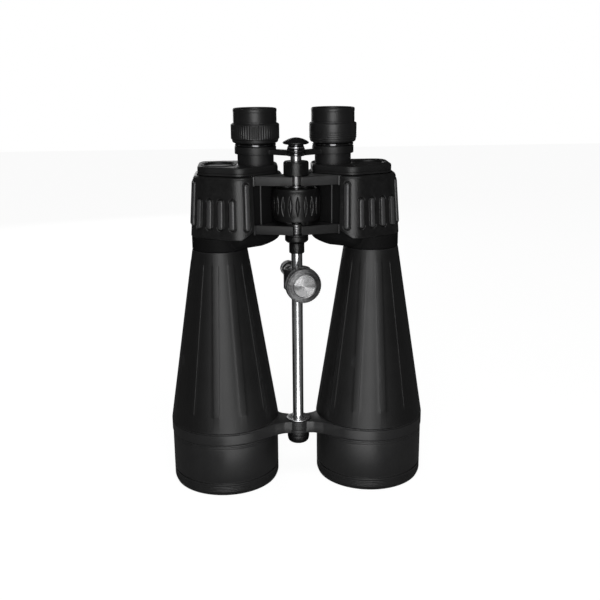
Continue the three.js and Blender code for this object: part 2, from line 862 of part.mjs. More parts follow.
function domeCap() {
  const bore = spindleRadius + seatGap;
  const ceiling = spindleTop + seatGap;
  const curve = [[1, 0], [1, 0.22], [0.88, 0.64], [0.62, 0.89], [0.29, 0.99], [0, 1]];
  return turned([
    [0, ceiling], [bore, ceiling], [bore, domeBottom],
    ...curve.map(([r, z]) => [domeRadius * r, domeBottom + domeHeight * z]),
  ]);
}

function lowerHub() {
  const top = lowerLugBottom - seatGap;
  const bottom = top - lowerHubHeight;
  const bore = axleRadius + seatGap;
  return turned([
    [bore, bottom], [lowerHubRadius - 1.5, bottom], [lowerHubRadius, bottom + 1.5],
    [lowerHubRadius, top], [bore, top],
  ]);
}

function rodCollar() {
  const top = lowerLugBottom - lowerHubHeight - 2 * seatGap;
  return pipe(rodRadius + seatGap, rodCollarRadius, top - rodCollarHeight, rodCollarHeight,
    facets.small);
}

function stabiliserRod() {
  const rodBottom = braceBottom - rodInNut;
  return drum(rodRadius, rodBottom, rodTop - rodBottom);
}

function rodWasher() {
  return pipe(rodRadius + seatGap, washerRadius, braceTop + seatGap, washerHeight);
}

function rodNut() {
  const top = braceBottom - seatGap;
  const bottom = top - nutHeight;
  const bore = rodRadius + seatGap;
  return turned([
    [bore, bottom], [nutRadius - 2.5, bottom], [nutRadius, bottom + 4], [nutRadius, top], [bore, top],
  ], facets.small);
}

// Tripod clamp, made facing -Y and then turned round the rod

// A turned shape about Y at the clamp's level; its outline's z becomes the reach along ahead (-Y) or
// behind (+Y).
function acrossRod(points, ahead, segments = facets.small) {
  const geometry = turned(points, segments);
  geometry.rotateX(ahead ? Math.PI / 2 : -Math.PI / 2);
  geometry.translate(0, 0, clampLevel);
  return geometry;
}

function clampBush() {
  const inner = rodRadius + runGap;
  return pipe(inner, inner + clampBushWall, clampLevel - clampHeight / 2, clampHeight, facets.small);
}

function tripodClamp() {
  const bushOuterRadius = rodRadius + runGap + clampBushWall;
  const footStart = postReach - postFootLength;
  const below = clampLevel - clampHeight / 2;
  const geometry = carve(
    drum(clampRadius, below, clampHeight),
    [acrossRod([[0, 0], [postRadius, 0], [postRadius, footStart], [postFootRadius, footStart + 1],
      [postFootRadius, postReach], [0, postReach]], false),
    acrossRod([[0, 0], [knobNeckRadius, 0], [knobNeckRadius, bossReach], [0, bossReach]], true)],
    [drum(bushOuterRadius + seatGap, below - 1, clampHeight + 2, facets.small),
      acrossRod([[0, postReach - socketDepth], [socketRadius, postReach - socketDepth],
        [socketRadius, postReach + 1], [0, postReach + 1]], false),
      acrossRod([[0, 0], [knobScrewRadius + seatGap, 0],
        [knobScrewRadius + seatGap, bossReach + 1], [0, bossReach + 1]], true)],
  );
  return geometry;
}

function thumbKnob() {
  const tip = rodRadius + runGap + clampBushWall + seatGap;
  const neck = bossReach + seatGap;
  const back = knobReach - knobThickness;
  const geometry = acrossRodNotched([
    [0, tip], [knobScrewRadius, tip], [knobScrewRadius, neck], [knobNeckRadius, neck],
    [knobNeckRadius, back], [knobRadius - 1, back], [knobRadius, back + 1],
    [knobRadius, knobReach - 2], [knobRadius - knobChamfer, knobReach], [0, knobReach],
  ]);
  return geometry;
}

function acrossRodNotched(points) {
  const geometry = turned(points, 2 * knobNotches);
  pressed(geometry, knobNotches, knobNotchDepth, (r) => r > knobRadius - 0.1);
  geometry.rotateX(Math.PI / 2);
  geometry.translate(0, 0, clampLevel);
  return geometry;
}

// Assembly

const binoculars = new THREE.Group();
binoculars.position.y = -objectiveDepth;

function place(name, geometry, material, parent = binoculars) {
  const mesh = new THREE.Mesh(outward(geometry), material);
  mesh.name = name;
  parent.add(mesh);
}

for (const isRight of [true, false]) {
  const side = isRight ? 'right' : 'left';
  const input = { x: objectiveHalf, y: objectiveDepth };
  const output = { x: eyeX, y: eyeDepth };
  const pieces = [
    ['prism_housing', prismHousing(isRight), blackPaint],
    ['armour', armour(), rubber],
    ['cover_plate', coverPlate(), blackPaint],
    ['guide_bush', guideBush(), steel],
    ['upper_prism', prism(input, middleLight, true), glass],
    ['lower_prism', prism(middleLight, output, false), glass],
    ['upper_prism_clip', clip(input, middleLight, true), steel],
    ['lower_prism_clip', clip(middleLight, output, false), steel],
    ['prism_shelf', prismShelf(), innerBlack],
    ['objective_barrel', objectiveBarrel(), blackPaint],
    ['brace', brace(isRight), blackPaint],
    ['objective_cell', objectiveCell(), blackPaint],
    ['objective_rim', objectiveRim(), rubber],
    ['crown_lens', crownLens(), glass],
    ['flint_lens', flintLens(), glass],
    ['lens_lock_ring', lockRing(), innerBlack],
    ['eyepiece_arm', eyepieceArm(isRight), blackPaint],
    ['carriage_tube', carriageTube(), blackPaint],
    ['ocular_tube', ocularTube(), innerBlack],
    ['field_lens', smallLens(ocularBottom + fieldLensRise, fieldLensBulge), glass],
    ['eye_lens', smallLens(ringBottom + eyeLensRise, eyeLensBulge), glass],
    [isRight ? 'dioptre_ring' : 'eyepiece_ring', eyepieceRing(isRight), blackPaint],
    ['eyecup', eyecup(), rubber],
  ];
  for (const [name, geometry, material] of pieces) {
    place(`${side}_${name}`, isRight ? mirroredX(geometry) : geometry, material);
  }
}

place('focus_wheel', focusWheel(), rubber);
place('focus_spindle', focusSpindle(), steel);
place('upper_hinge_bush', upperBush(), steel);
place('lower_hinge_pin', lowerPin(), steel);
place('hinge_collar', hingeCollar(), crackle);
place('spindle_cap', domeCap(), crackle);
place('lower_hub', lowerHub(), crackle);
place('rod_collar', rodCollar(), crackle);
place('stabiliser_rod', stabiliserRod(), chrome);
place('rod_washer', rodWasher(), aluminium);
place('rod_nut', rodNut(), crackle);

const clamp = new THREE.Group();
clamp.rotation.z = THREE.MathUtils.degToRad(clampTurn);
binoculars.add(clamp);
place('clamp_bush', clampBush(), steel, clamp);
place('tripod_clamp', tripodClamp(), crackle, clamp);
place('thumb_knob', thumbKnob(), aluminium, clamp);

export default binoculars;
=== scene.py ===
from itertools import accumulate
from math import acos, atan2, cos, hypot, pi, radians, sin, sqrt, tan
import bpy
import bmesh
from mathutils import Matrix, Vector


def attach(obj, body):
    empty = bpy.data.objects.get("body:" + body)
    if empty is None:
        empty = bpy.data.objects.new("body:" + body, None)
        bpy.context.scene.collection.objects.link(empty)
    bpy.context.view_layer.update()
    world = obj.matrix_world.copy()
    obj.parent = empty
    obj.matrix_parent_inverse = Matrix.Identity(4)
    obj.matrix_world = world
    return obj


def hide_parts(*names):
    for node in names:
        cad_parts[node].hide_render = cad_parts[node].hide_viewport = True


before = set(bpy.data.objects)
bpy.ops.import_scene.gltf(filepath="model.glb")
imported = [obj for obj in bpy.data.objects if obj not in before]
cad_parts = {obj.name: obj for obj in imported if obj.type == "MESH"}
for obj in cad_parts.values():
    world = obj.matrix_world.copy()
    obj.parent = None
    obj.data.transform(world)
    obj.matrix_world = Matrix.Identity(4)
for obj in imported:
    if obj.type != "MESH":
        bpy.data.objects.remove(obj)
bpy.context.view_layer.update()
print("frame loaded")

scene = bpy.context.scene
scene.view_settings.view_transform = "Standard"

mm = 0.001
hingeY = -15.8          # hinge axis behind the middle of the stand, in mm
sides = {"right_": -1, "left_": 1}


# Camera

cameraSetup = {
    "place": (-0.04106, -0.71871, 0.36287),
    "ahead": (0.05938, 0.96116, -0.26953),
    "roll": 0.48,        # degrees
    "lens": 51.476,
}


def pick(look, keys):
    return [look[key] for key in keys.split()]


def lookAlong(direction):
    return Vector(direction).to_track_quat("-Z", "Y")


def linkObject(name, data):
    thing = bpy.data.objects.new(name, data)
    scene.collection.objects.link(thing)
    return thing


data = bpy.data.cameras.new("view")
data.lens = cameraSetup["lens"]
data.sensor_width = 36
camera = linkObject("view", data)
turn = lookAlong(cameraSetup["ahead"]).to_matrix().to_4x4()
roll = Matrix.Rotation(radians(-cameraSetup["roll"]), 4, "Z")
camera.matrix_world = Matrix.Translation(cameraSetup["place"]) @ turn @ roll
scene.camera = camera


# Light

lampAim = (0, 0, 0.17)
lamps = {
    "front_box": {"power": 5.2, "size": (0.56, 0.7), "place": (-0.05, -1, 0.32)},
    "top_box": {"power": 3, "size": (0.8, 0.35), "place": (0, -0.55, 1.15)},
    "rear_box": {"power": 1.8, "size": (0.6, 0.5), "place": (-0.32, 1.3, 0.42)},
    "low_card": {"power": 0.5, "size": (0.14, 0.5), "place": (0.005, -0.36, 0.004),
        "aim": (0.005, -0.36, 1)},
    "side_box_a": {"power": 0.1, "size": (0.25, 0.9), "place": (-1.25, 0.35, 0.45)},
    "side_box_b": {"power": 0.1, "size": (0.25, 0.9), "place": (1.25, 0.35, 0.45)},
}

for name, lamp in lamps.items():
    data = bpy.data.lights.new(name, "AREA")
    data.shape = "RECTANGLE"
    data.size, data.size_y = lamp["size"]
    data.energy = lamp["power"]
    box = linkObject(name, data)
    box.location = lamp["place"]
    aim = Vector(lamp.get("aim", lampAim)) - Vector(lamp["place"])
    box.rotation_euler = lookAlong(aim).to_euler()
    box.visible_camera = False


# Nodes

def feed(tree, node, inputs):
    # links another node's socket, and sets anything else as the value
    for label, value in inputs.items():
        if isinstance(value, bpy.types.NodeSocket):
            tree.links.new(value, node.inputs[label])
        else:
            node.inputs[label].default_value = value


def addNode(tree, kind, inputs=None, **settings):
    node = tree.nodes.new("ShaderNode" + kind)
    for label, value in settings.items():
        setattr(node, label, value)
    feed(tree, node, inputs or {})
    return node


def mapValue(tree, value, ends):
    return addNode(tree, "MapRange", {"Value": value, **ends}).outputs["Result"]


def spreadValue(tree, mask, low, high):
    return mapValue(tree, mask, {"To Min": low, "To Max": high})


def combine(tree, operation, first, second):
    return addNode(tree, "Math", {0: first, 1: second}, operation=operation).outputs[0]


def objectNoise(tree, scale, detail):
    place = addNode(tree, "TexCoord").outputs["Object"]
    noise = addNode(tree, "TexNoise", {"Vector": place, "Scale": scale, "Detail": detail})
    return noise.outputs["Fac"]


# Backdrop: bright where the camera sees it, dim in reflections

backdrop = {"seen": 1, "reflected": 0.03, "diffuse": 0.2}
world = bpy.data.worlds.new("studio")
scene.world = world
world.use_nodes = True
tree = world.node_tree
rays = addNode(tree, "LightPath").outputs
seen = combine(tree, "MAXIMUM", rays["Is Camera Ray"], rays["Is Transmission Ray"])
unseen = spreadValue(tree, rays["Is Glossy Ray"], *pick(backdrop, "diffuse reflected"))
feed(tree, tree.nodes["Background"], {
    "Color": (1, 1, 1, 1), "Strength": spreadValue(tree, seen, unseen, backdrop["seen"])})


# Shared effects

def makeGroup(name, inputs, outputs, fill):
    # fill(tree, inputs) gives the sockets that feed the outputs
    group = bpy.data.node_groups.new(name, "ShaderNodeTree")
    for kind, labels in (("INPUT", inputs), ("OUTPUT", outputs)):
        for label in labels:
            socket = group.interface.new_socket(
                label, in_out=kind, socket_type="NodeSocketFloat")
            socket.default_value = inputs.get(label, 0)
    start, end = group.nodes.new("NodeGroupInput"), group.nodes.new("NodeGroupOutput")
    feed(group, end, dict(zip(outputs, fill(group, start.outputs))))
    return group


def fillGrain(tree, given):
    # noise at two scales: a height for bump, and a slowly wandering mask
    return objectNoise(tree, given["Scale"], 3), objectNoise(tree, given["Mottle Scale"], 4)


def fillWear(tree, given):
    # mask of proud edges, broken up by noise
    pointed = addNode(tree, "NewGeometry").outputs["Pointiness"]
    edge = mapValue(tree, pointed, {"From Min": given["From"], "From Max": given["To"]})
    return [combine(tree, "MULTIPLY", edge, objectNoise(tree, given["Break Up"], 2))]


def fillDust(tree, given):
    # faint settled dust: more on faces that look up
    normal = addNode(tree, "NewGeometry").outputs["Normal"]
    upward = addNode(tree, "SeparateXYZ", {"Vector": normal}).outputs["Z"]
    lying = mapValue(tree, upward, {"From Min": -0.4, "To Min": 0.15})
    patchy = combine(tree, "MULTIPLY", lying, objectNoise(tree, given["Scale"], 6))
    return [combine(tree, "MULTIPLY", patchy, given["Amount"])]


grainGroup = makeGroup("fine grain", {"Scale": 900, "Mottle Scale": 40},
        ("Height", "Mottle"), fillGrain)
wearGroup = makeGroup("edge wear", {"From": 0.52, "To": 0.6, "Break Up": 160}, ("Mask",),
        fillWear)
dustGroup = makeGroup("dust", {"Amount": 0.1, "Scale": 220}, ("Mask",), fillDust)


# Materials

def newMaterial(name, inputs=None):
    material = bpy.data.materials.new(name)
    material.use_nodes = True
    shader = material.node_tree.nodes["Principled BSDF"]
    feed(material.node_tree, shader, inputs or {})
    return material, material.node_tree, shader


def placeGroup(tree, group, inputs=None):
    return addNode(tree, "Group", inputs, node_tree=group).outputs


def placeGrain(tree, grain, mottle):
    return placeGroup(tree, grainGroup, {"Scale": grain, "Mottle Scale": mottle})


def mixColour(tree, mask, low, high):
    low, high = (value if isinstance(value, bpy.types.NodeSocket) else (*value, 1)
            for value in (low, high))
    mixed = addNode(tree, "Mix", {"Factor": mask, "A": low, "B": high}, data_type="RGBA")
    return mixed.outputs["Result"]


def mixValue(tree, mask, low, high):
    return addNode(tree, "Mix", {"Factor": mask, "A": low, "B": high}).outputs["Result"]


def grainBump(tree, height, strength, distance):
    inputs = {"Strength": strength, "Distance": distance, "Height": height}
    return addNode(tree, "Bump", inputs).outputs["Normal"]


def paint(dark, light, worn, rough, **others):
    # colours, roughness, noise scales (grain, mottle), and the bump's strength and depth
    return {"dark": dark, "light": light, "worn": worn, "rough": rough, "dust": 0.01,
            "grain": 900, "mottle": 45, "bump": 0.2, "depth": 0.0002, **others}


def grey(level, blue):
    return (level, level, blue)


finishes = {
    "black_paint": paint(grey(0.004, 0.0041), grey(0.0075, 0.0077), grey(0.02, 0.021),
        (0.41, 0.51), dust=0.008, bump=0.1),
    # painted light: a lighter copy of the black paint, which stands in for the brighter light
    # on the cells, rims and brace rings low at the front
    "cell_paint": paint(grey(0.013, 0.0133), grey(0.02, 0.0204), grey(0.06, 0.06),
        (0.34, 0.44), dust=0.008, mottle=70, bump=0.12),
    # painted shade: a darker, duller copy of the black paint for the casting, which darkens
    # its shoulder under the armour
    "shaded_cast_paint": paint(grey(0.0035, 0.0036), grey(0.0065, 0.0067), grey(0.012, 0.0125),
        (0.6, 0.72), dust=0.006, bump=0.25, depth=0.0003, shine=0.08),
    # painted light: a lighter copy of the black paint for the upper lugs; its paler edge
    # colour is partly real wear and partly a painted highlight on their edges
    "lit_lug_paint": paint(grey(0.018, 0.0184), grey(0.032, 0.0325), grey(0.1, 0.1),
        (0.36, 0.48), mottle=90, bump=0.3),
    # painted highlight: the bars' crowns get a lighter colour, with a lower roughness for
    # their real polish
    "armour_rubber": paint(grey(0.0015, 0.0016), grey(0.012, 0.0122), grey(0.04, 0.041),
        (0.3, 0.4), grain=1100, mottle=300, bump=0.5, depth=0.0003,
        rubbed=grey(0.05, 0.051), rubbedRough=0.26),
    "ring_paint": paint(grey(0.006, 0.0062), grey(0.012, 0.0124), grey(0.06, 0.06),
        (0.32, 0.42), grain=1200, mottle=110, bump=0.3),
    "cup_rubber": paint(grey(0.005, 0.0052), grey(0.01, 0.0104), grey(0.04, 0.04),
        (0.34, 0.44), dust=0.015, grain=1300, mottle=70),
    "wheel_rubber": paint(grey(0.002, 0.0021), grey(0.0045, 0.0047), grey(0.02, 0.021),
        (0.27, 0.36), grain=1500, mottle=60),
    "crackle": paint(grey(0.002, 0.0022), grey(0.005, 0.0053), grey(0.04, 0.04),
        (0.18, 0.3), grain=1100, mottle=90, bump=0.7, depth=0.0004),
    "black_steel": paint(grey(0.008, 0.009), grey(0.018, 0.019), grey(0.2, 0.2),
        (0.3, 0.4), grain=1400, mottle=150, bump=0.1, depth=0.0001),
    "inner_black": paint(grey(0.0015, 0.0015), grey(0.003, 0.003), None, (0.7, 0.85),
        mottle=50),
}
dustColour = (0.45, 0.44, 0.42)


def finishMaterial(name, look):
    # paint or rubber: mottled colour, worn edges, dust and a fine grain
    material, tree, shader = newMaterial(name, {"Specular IOR Level": look.get("shine", 0.5)})
    grain = placeGrain(tree, look["grain"], look["mottle"])
    colour = mixColour(tree, grain["Mottle"], look["dark"], look["light"])
    if look["worn"]:
        worn = placeGroup(tree, wearGroup)["Mask"]
        colour = mixColour(tree, worn, colour, look["worn"])
    dusty = placeGroup(tree, dustGroup, {"Amount": look["dust"]})["Mask"]
    colour = mixColour(tree, dusty, colour, dustColour)
    rough = spreadValue(tree, grain["Mottle"], *look["rough"])
    # the proud crowns of the bars: a lower roughness for their polish, and a lighter colour
    # that paints a highlight on them
    if "rubbed" in look:
        proud = addNode(tree, "Attribute", attribute_name="polish_and_painted_highlight").outputs["Fac"]
        colour = mixColour(tree, proud, colour, look["rubbed"])
        rough = mixValue(tree, proud, rough, look["rubbedRough"])
    feed(tree, shader, {"Base Color": colour, "Roughness": rough, "Normal": grainBump(
        tree, grain["Height"], look["bump"], look["depth"])})
    return material


metals = {
    # name: (colour, roughness, scale of the fine grain, anisotropy)
    "steel": ((0.6, 0.6, 0.61), (0.22, 0.34), 900, 0.4),
    "chrome": ((0.86, 0.87, 0.88), (0.2, 0.28), 300, 0),
    "aluminium": ((0.72, 0.72, 0.73), (0.22, 0.32), 1200, 0.7),
    "black_chrome": ((0.16, 0.16, 0.165), (0.1, 0.16), 300, 0),
    "dull_steel": ((0.5, 0.5, 0.505), (0.45, 0.6), 900, 0),
}
metalShade = 0.86        # the mottling's darker colour, as a share of the metal's own


def metalMaterial(name, colour, rough, fine, brushed):
    material, tree, shader = newMaterial(name, {"Metallic": 1, "Anisotropic": brushed})
    grain = placeGrain(tree, fine, 70)
    dark = [value * metalShade for value in colour]
    feed(tree, shader, {
        "Base Color": mixColour(tree, grain["Mottle"], dark, colour),
        "Roughness": spreadValue(tree, grain["Mottle"], *rough),
        "Normal": grainBump(tree, grain["Height"], 0.05, 0.0001)})
    return material


turnedFace = {
    "dark": grey(0.26, 0.263), "light": grey(0.44, 0.443), "rough": (0.15, 0.22),
    "rimDark": grey(0.01, 0.0101), "rimLight": grey(0.34, 0.344), "rimRough": 0.36,
    "rimFrom": 0.0093, "rimTo": 0.0099, "rings": 700,
}


materials = {name: finishMaterial(name, look) for name, look in finishes.items()}
materials |= {name: metalMaterial(name, *look) for name, look in metals.items()}

# faced on a lathe: fine rings about the piece's own Z, inside a speckled rim
materials["turned_face"], tree, shader = newMaterial("turned_face", {"Metallic": 1})
mottle, speckle = placeGrain(tree, 900, 120)["Mottle"], placeGrain(tree, 1500, 520)["Mottle"]
place = addNode(tree, "TexCoord").outputs["Object"]
flat = addNode(tree, "VectorMath", {0: place, 1: (1, 1, 0)}, operation="MULTIPLY")
reach = addNode(tree, "VectorMath", {0: flat.outputs["Vector"]}, operation="LENGTH")
rim = mapValue(tree, reach.outputs["Value"],
    {"From Min": turnedFace["rimFrom"], "From Max": turnedFace["rimTo"]})
rings = addNode(tree, "TexWave", {"Vector": place, "Scale": turnedFace["rings"]},
    wave_type="RINGS", rings_direction="Z")
face = mixColour(tree, mottle, *pick(turnedFace, "dark light"))
edge = mixColour(tree, speckle, *pick(turnedFace, "rimDark rimLight"))
rough = spreadValue(tree, mottle, *turnedFace["rough"])
feed(tree, shader, {
    "Base Color": mixColour(tree, rim, face, edge),
    "Roughness": mixValue(tree, rim, rough, turnedFace["rimRough"]),
    "Normal": grainBump(tree, rings.outputs["Fac"], 0.5, 0.0001)})

materials["glass"], tree, shader = newMaterial("glass", {
    "Transmission Weight": 1, "IOR": 1.52, "Coat Weight": 0.6, "Coat Roughness": 0.03})
mottle = placeGrain(tree, 500, 30)["Mottle"]
feed(tree, shader, {
    "Base Color": mixColour(tree, mottle, (0.62, 0.78, 0.74), (0.74, 0.8, 0.86)),
    "Roughness": spreadValue(tree, mottle, 0, 0.03)})
print("materials ready")


# Mesh tools

def takeMesh(shape, recalc=True):
    # the shape's mesh, with its faces of more than four corners split
    bmesh.ops.triangulate(shape, faces=[f for f in shape.faces if len(f.verts) > 4])
    if recalc:
        bmesh.ops.recalc_face_normals(shape, faces=shape.faces)
    mesh = bpy.data.meshes.new("mesh")
    shape.to_mesh(mesh)
    shape.free()
    return mesh


def skinRows(shape, rows, isRing=False):
    # faces between loops of vertices; a row of a single vertex is a pole
    for low, high in list(zip(rows, rows[1:])) + [(rows[-1], rows[0])] * isRing:
        count = max(len(low), len(high))
        for i in range(count):
            j = (i + 1) % count
            corners = list(dict.fromkeys((low[i % len(low)], low[j % len(low)],
                    high[j % len(high)], high[i % len(high)])))
            if len(corners) > 2:
                shape.faces.new(corners)


def addPiece(mesh, side, name, body, slot, node=None, look=None, crispAngle=32):
    # smooth shaded, with the edges sharper than the angle kept crisp
    shape = bmesh.new()
    shape.from_mesh(mesh)
    for face in shape.faces:
        face.smooth = True
    for edge in shape.edges:
        isSharp = edge.is_manifold and edge.calc_face_angle(0) > radians(crispAngle)
        edge.smooth = not isSharp
    shape.to_mesh(mesh)
    shape.free()
    mesh.materials.clear()
    mesh.materials.append(materials[look or slot])
    mesh.polygons.foreach_set("material_index", [0] * len(mesh.polygons))
    piece = linkObject(side + name, mesh)
    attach(piece, side + body)
    if node:
        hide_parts(side + node)
    return piece


def cornerArc(start, here, end, steps):
    return [(1 - t) ** 2 * start + 2 * t * (1 - t) * here + t * t * end
            for t in (k / steps for k in range(steps + 1))]


def softCorners(points):
    # rounds the corners of an outline of (r, z) or (r, z, radius) points
    outline = []
    for i, point in enumerate(points):
        here = Vector(point[:2])
        if len(point) < 3 or point[2] <= 0 or i in (0, len(points) - 1):
            outline.append(here)
            continue
        before = Vector(points[i - 1][:2]) - here
        after = Vector(points[i + 1][:2]) - here
        reach = min(point[2], before.length * 0.49, after.length * 0.49)
        outline += cornerArc(here + before.normalized() * reach, here,
                here + after.normalized() * reach, 4)
    return outline


def turnedMesh(points, segments=96, shift=None, centre=(0, 0), size=(1, 1)):
    # solid of revolution about Z; an outline that doesn't start on the axis closes on
    # itself, and shift(angle, r, z) gives a new radius
    shape = bmesh.new()
    rows = []
    for r, z in softCorners(points):
        row = []
        for i in range(segments if r > 1e-6 else 1):
            angle = 2 * pi * i / segments
            radius = shift(angle, r, z) if shift else r
            row.append(shape.verts.new((radius * cos(angle), radius * sin(angle), z)))
        rows.append(row)
    skinRows(shape, rows, points[0][0] > 0)
    mesh = takeMesh(shape)
    mesh.transform(Matrix.Translation((*centre, 0)) @ Matrix.Diagonal((*size, 1, 1)))
    return mesh


def ringPoints(inner, outer, low, high, soft=0):
    return [(inner, low), (outer, low, soft), (outer, high, soft), (inner, high)]


def drumMesh(radius, low, high, centre=(0, 0), segments=64, soft=0):
    return turnedMesh(ringPoints(0, radius, low, high, soft), segments, centre=centre)


def grooves(radius, levels, depth, half=0.35):
    return [point for z in levels for point in (
        (radius, z - half, 0.15), (radius - depth, z, 0.15), (radius, z + half, 0.15))]


def addTurned(pieces, side="", axis=(0, 0)):
    # pieces in mm: name: (points, body, slot, replaced node, look, segments, shift, angle)
    x, y = axis
    for name, (points, body, slot, node, *more) in pieces.items():
        look, segments, shift, crispAngle = more + [None, 96, None, 32][len(more):]
        mesh = turnedMesh(points, segments, shift)
        mesh.transform(Matrix.Translation((x * mm, (y + hingeY) * mm, 0))
                @ Matrix.Scale(mm, 4))
        addPiece(mesh, side, name, body, slot, node, look, crispAngle)


def solidMesh(parts, cuts, voxel=None, eased=0, keep=None):
    # union of the parts less the cuts; voxel and eased give it a casting's soft edges
    things = [linkObject("solid", mesh) for mesh in [*parts, *cuts]]
    base = things[0]
    tools = [("BOOLEAN", {"operation": "UNION" if i < len(parts) else "DIFFERENCE",
            "solver": "MANIFOLD", "object": thing})
            for i, thing in enumerate(things) if i]
    tools += [("REMESH", {"mode": "VOXEL", "voxel_size": voxel}),
            ("SMOOTH", {"factor": 0.5, "iterations": eased}), ("DECIMATE", {"ratio": keep})]
    for kind, settings in tools:
        if all(settings.values()):
            modifier = base.modifiers.new(kind, kind)
            for label, value in settings.items():
                setattr(modifier, label, value)
    graph = bpy.context.evaluated_depsgraph_get()
    graph.update()
    result = bpy.data.meshes.new_from_object(base.evaluated_get(graph))
    for thing in things:
        bpy.data.objects.remove(thing)
    return result


def addSolid(side, name, mesh, crispAngle=35, node=None, look=None, slot="black_paint",
        body="half"):
    # a solid of the left half, in mm about the hinge, mirrored for the right half
    mesh.transform(Matrix.Translation((0, hingeY, 0)))
    mesh.transform(Matrix.Scale(mm, 4))
    if side == "right_":
        mesh.transform(Matrix.Scale(-1, 4, (1, 0, 0)))
        mesh.flip_normals()
    addPiece(mesh, side, name, body, slot, node, look, crispAngle)


def splitKnuckle(low, high, isLow, share=0.5, gap=0.15):
    # heights of one half's knuckle, and of the room for the other's
    split = low + (high - low) * share
    if isLow:
        return (low, split - gap), (split - gap, high + 0.3)
    return (split + gap, high), (low - 0.3, split + gap)


# Objective barrels, cells and rims

eyeAxis = (32.5, 23.35)

barrelLook = {
    "axis": (64.6, 15.8), "footRadius": 47.4, "neckRadius": 23.3, "foot": 57.8, "neck": 209.5,
    "wall": 2, "spigotRadius": 43.4, "spigotFoot": 38,
    "ribs": 12, "ribPhase": 8, "ribHalf": 2.5, "ribHeight": 0.26, "ribEdge": 0.35,
    "ribFrom": 72, "ribTo": 199, "columnsBetween": 5, "rows": 40,
}


def barrelColumns(look):
    # (rib number, offset in mm from its middle, share of the gap to the next rib, height)
    half, edge, between = pick(look, "ribHalf ribEdge columnsBetween")
    rise = [(-half - edge, 0), (-half - edge * 0.35, 0.3), (-half, 0.85), (-half + edge, 1)]
    across = rise + [(0, 1)] + [(-offset, height) for offset, height in reversed(rise)]
    gap = [(half + edge, (k + 1) / (between + 1), 0) for k in range(between)]
    profile = [(offset, 0, height) for offset, height in across] + gap
    return [(rib, *column) for rib in range(look["ribs"]) for column in profile]


def barrelRow(look, columns, z, lift):
    foot, neck, footRadius, neckRadius = pick(look, "foot neck footRadius neckRadius")
    base = footRadius + (neckRadius - footRadius) * ((z - foot) / (neck - foot))
    pitch = 2 * pi / look["ribs"]
    points = []
    for rib, offset, share, height in columns:
        angle = radians(look["ribPhase"] - 90) + rib * pitch + offset / base
        angle += share * (pitch - 2 * offset / base)
        radius = base + height * lift * look["ribHeight"]
        points.append((radius * cos(angle), radius * sin(angle), z))
    return points


def barrelMesh():
    look = barrelLook
    columns = barrelColumns(look)
    foot, neck, wall, spigot, end = pick(look, "foot neck wall spigotRadius spigotFoot")
    low, high, count = pick(look, "ribFrom ribTo rows")
    levels = [(foot + 0.35, 0), (foot + 2, 0), (low - 0.8, 0), (low, 0.7), (low + 0.8, 1)]
    levels += [(low + 0.8 + (high - low - 1.6) * k / count, 1) for k in range(1, count)]
    levels += [(high - 0.8, 1), (high, 0.7), (high + 0.8, 0), (neck - 1.2, 0)]
    rows = [barrelRow(look, columns, z, lift) for z, lift in levels]
    angles = [atan2(y, x) for x, y, z in rows[0]]

    def plainRows(*points):
        return [[(radius * cos(a), radius * sin(a), z) for a in angles]
                for radius, z in points]

    lower = plainRows((spigot - wall, foot + 2 * wall), (spigot - wall, end), (spigot, end),
            (spigot, foot), (look["footRadius"] - 0.35, foot))
    upper = plainRows((look["neckRadius"] - 0.2, neck), (look["neckRadius"] - wall, neck))
    shape = bmesh.new()
    grid = [[shape.verts.new(point) for point in row] for row in lower + rows + upper]
    skinRows(shape, grid, True)
    mesh = takeMesh(shape)
    mesh.transform(Matrix.Translation((*look["axis"], 0)))
    return mesh


cellLook = {"outside": 46.9, "foot": 12.3, "top": 46.6, "lip": 38.6, "seat": 40.6,
        "socket": 43.7, "grooves": (43.4, 45), "grooveDepth": 0.3}
rimLook = {"outside": 46.9, "inside": 38.6, "top": 12, "undercut": 1.1,
        "ridges": (4.4, 5.8, 7.2, 8.6), "ridgeDepth": 0.4}


def cellPoints():
    look = cellLook
    outside, foot, top, lip, seat, socket = pick(look, "outside foot top lip seat socket")
    return [(lip, 4), (44.3, 4), (44.3, foot), (outside, foot, 0.5),
            *grooves(outside, look["grooves"], look["grooveDepth"]), (outside, top, 0.5),
            (socket, top), (socket, 37.7), (seat, 37.7), (seat, 12), (lip, 12)]


def rimPoints():
    look = rimLook
    outside, inside, top = pick(look, "outside inside top")
    neck = outside - look["undercut"]
    return [(inside, 0), (outside - 1.4, 0, 0.5), (outside - 0.3, 2.6, 0.6),
            *grooves(outside, look["ridges"], look["ridgeDepth"], 0.45),
            (outside, top - 1.3, 0.4), (neck, top - 1.2, 0.1), (neck, top - 0.1),
            (44.6, top), (44.6, 3.7), (inside, 3.7)]


def lensPoints(radius, flat, level, edge, low, high, steps=14):
    # faces bulge by low downwards and high upwards; a negative bulge is a hollow
    under = [(flat * i / steps, level - low * (1 - (i / steps) ** 2))
            for i in range(steps + 1)]
    over = [(r, level + edge + high * (1 - (r / flat) ** 2)) for r, z in reversed(under)]
    return under + [(radius, level), (radius, level + edge)] + over


objectivePieces = {
    "cell": (cellPoints(), "half", "black_paint", "objective_cell", "cell_paint", 128),
    "rim": (rimPoints(), "half", "armour_rubber", "objective_rim", "cell_paint", 128),
    "lock_ring": ([(38.6, 26.9), (40.3, 26.9), (40.3, 30.4), (38.9, 30.4), (38.6, 30.1)],
        "half", "inner_black", "lens_lock_ring"),
    "front_lens": (lensPoints(40.3, 38.6, 12.3, 6, 4.5, 4.5), "half", "glass", "crown_lens"),
    "inner_lens": (lensPoints(40.3, 38.6, 18.6, 8, -4.5, -0.5), "half", "glass",
        "flint_lens"),
}

for side in sides:
    addSolid(side, "barrel", barrelMesh(), 40, "objective_barrel")
for side, sign in sides.items():
    addTurned(objectivePieces, side, (sign * 64.6, 15.8))
print("barrels and cells made")


# Prism housings: casting, hinge lugs, rubber armour and cover plate

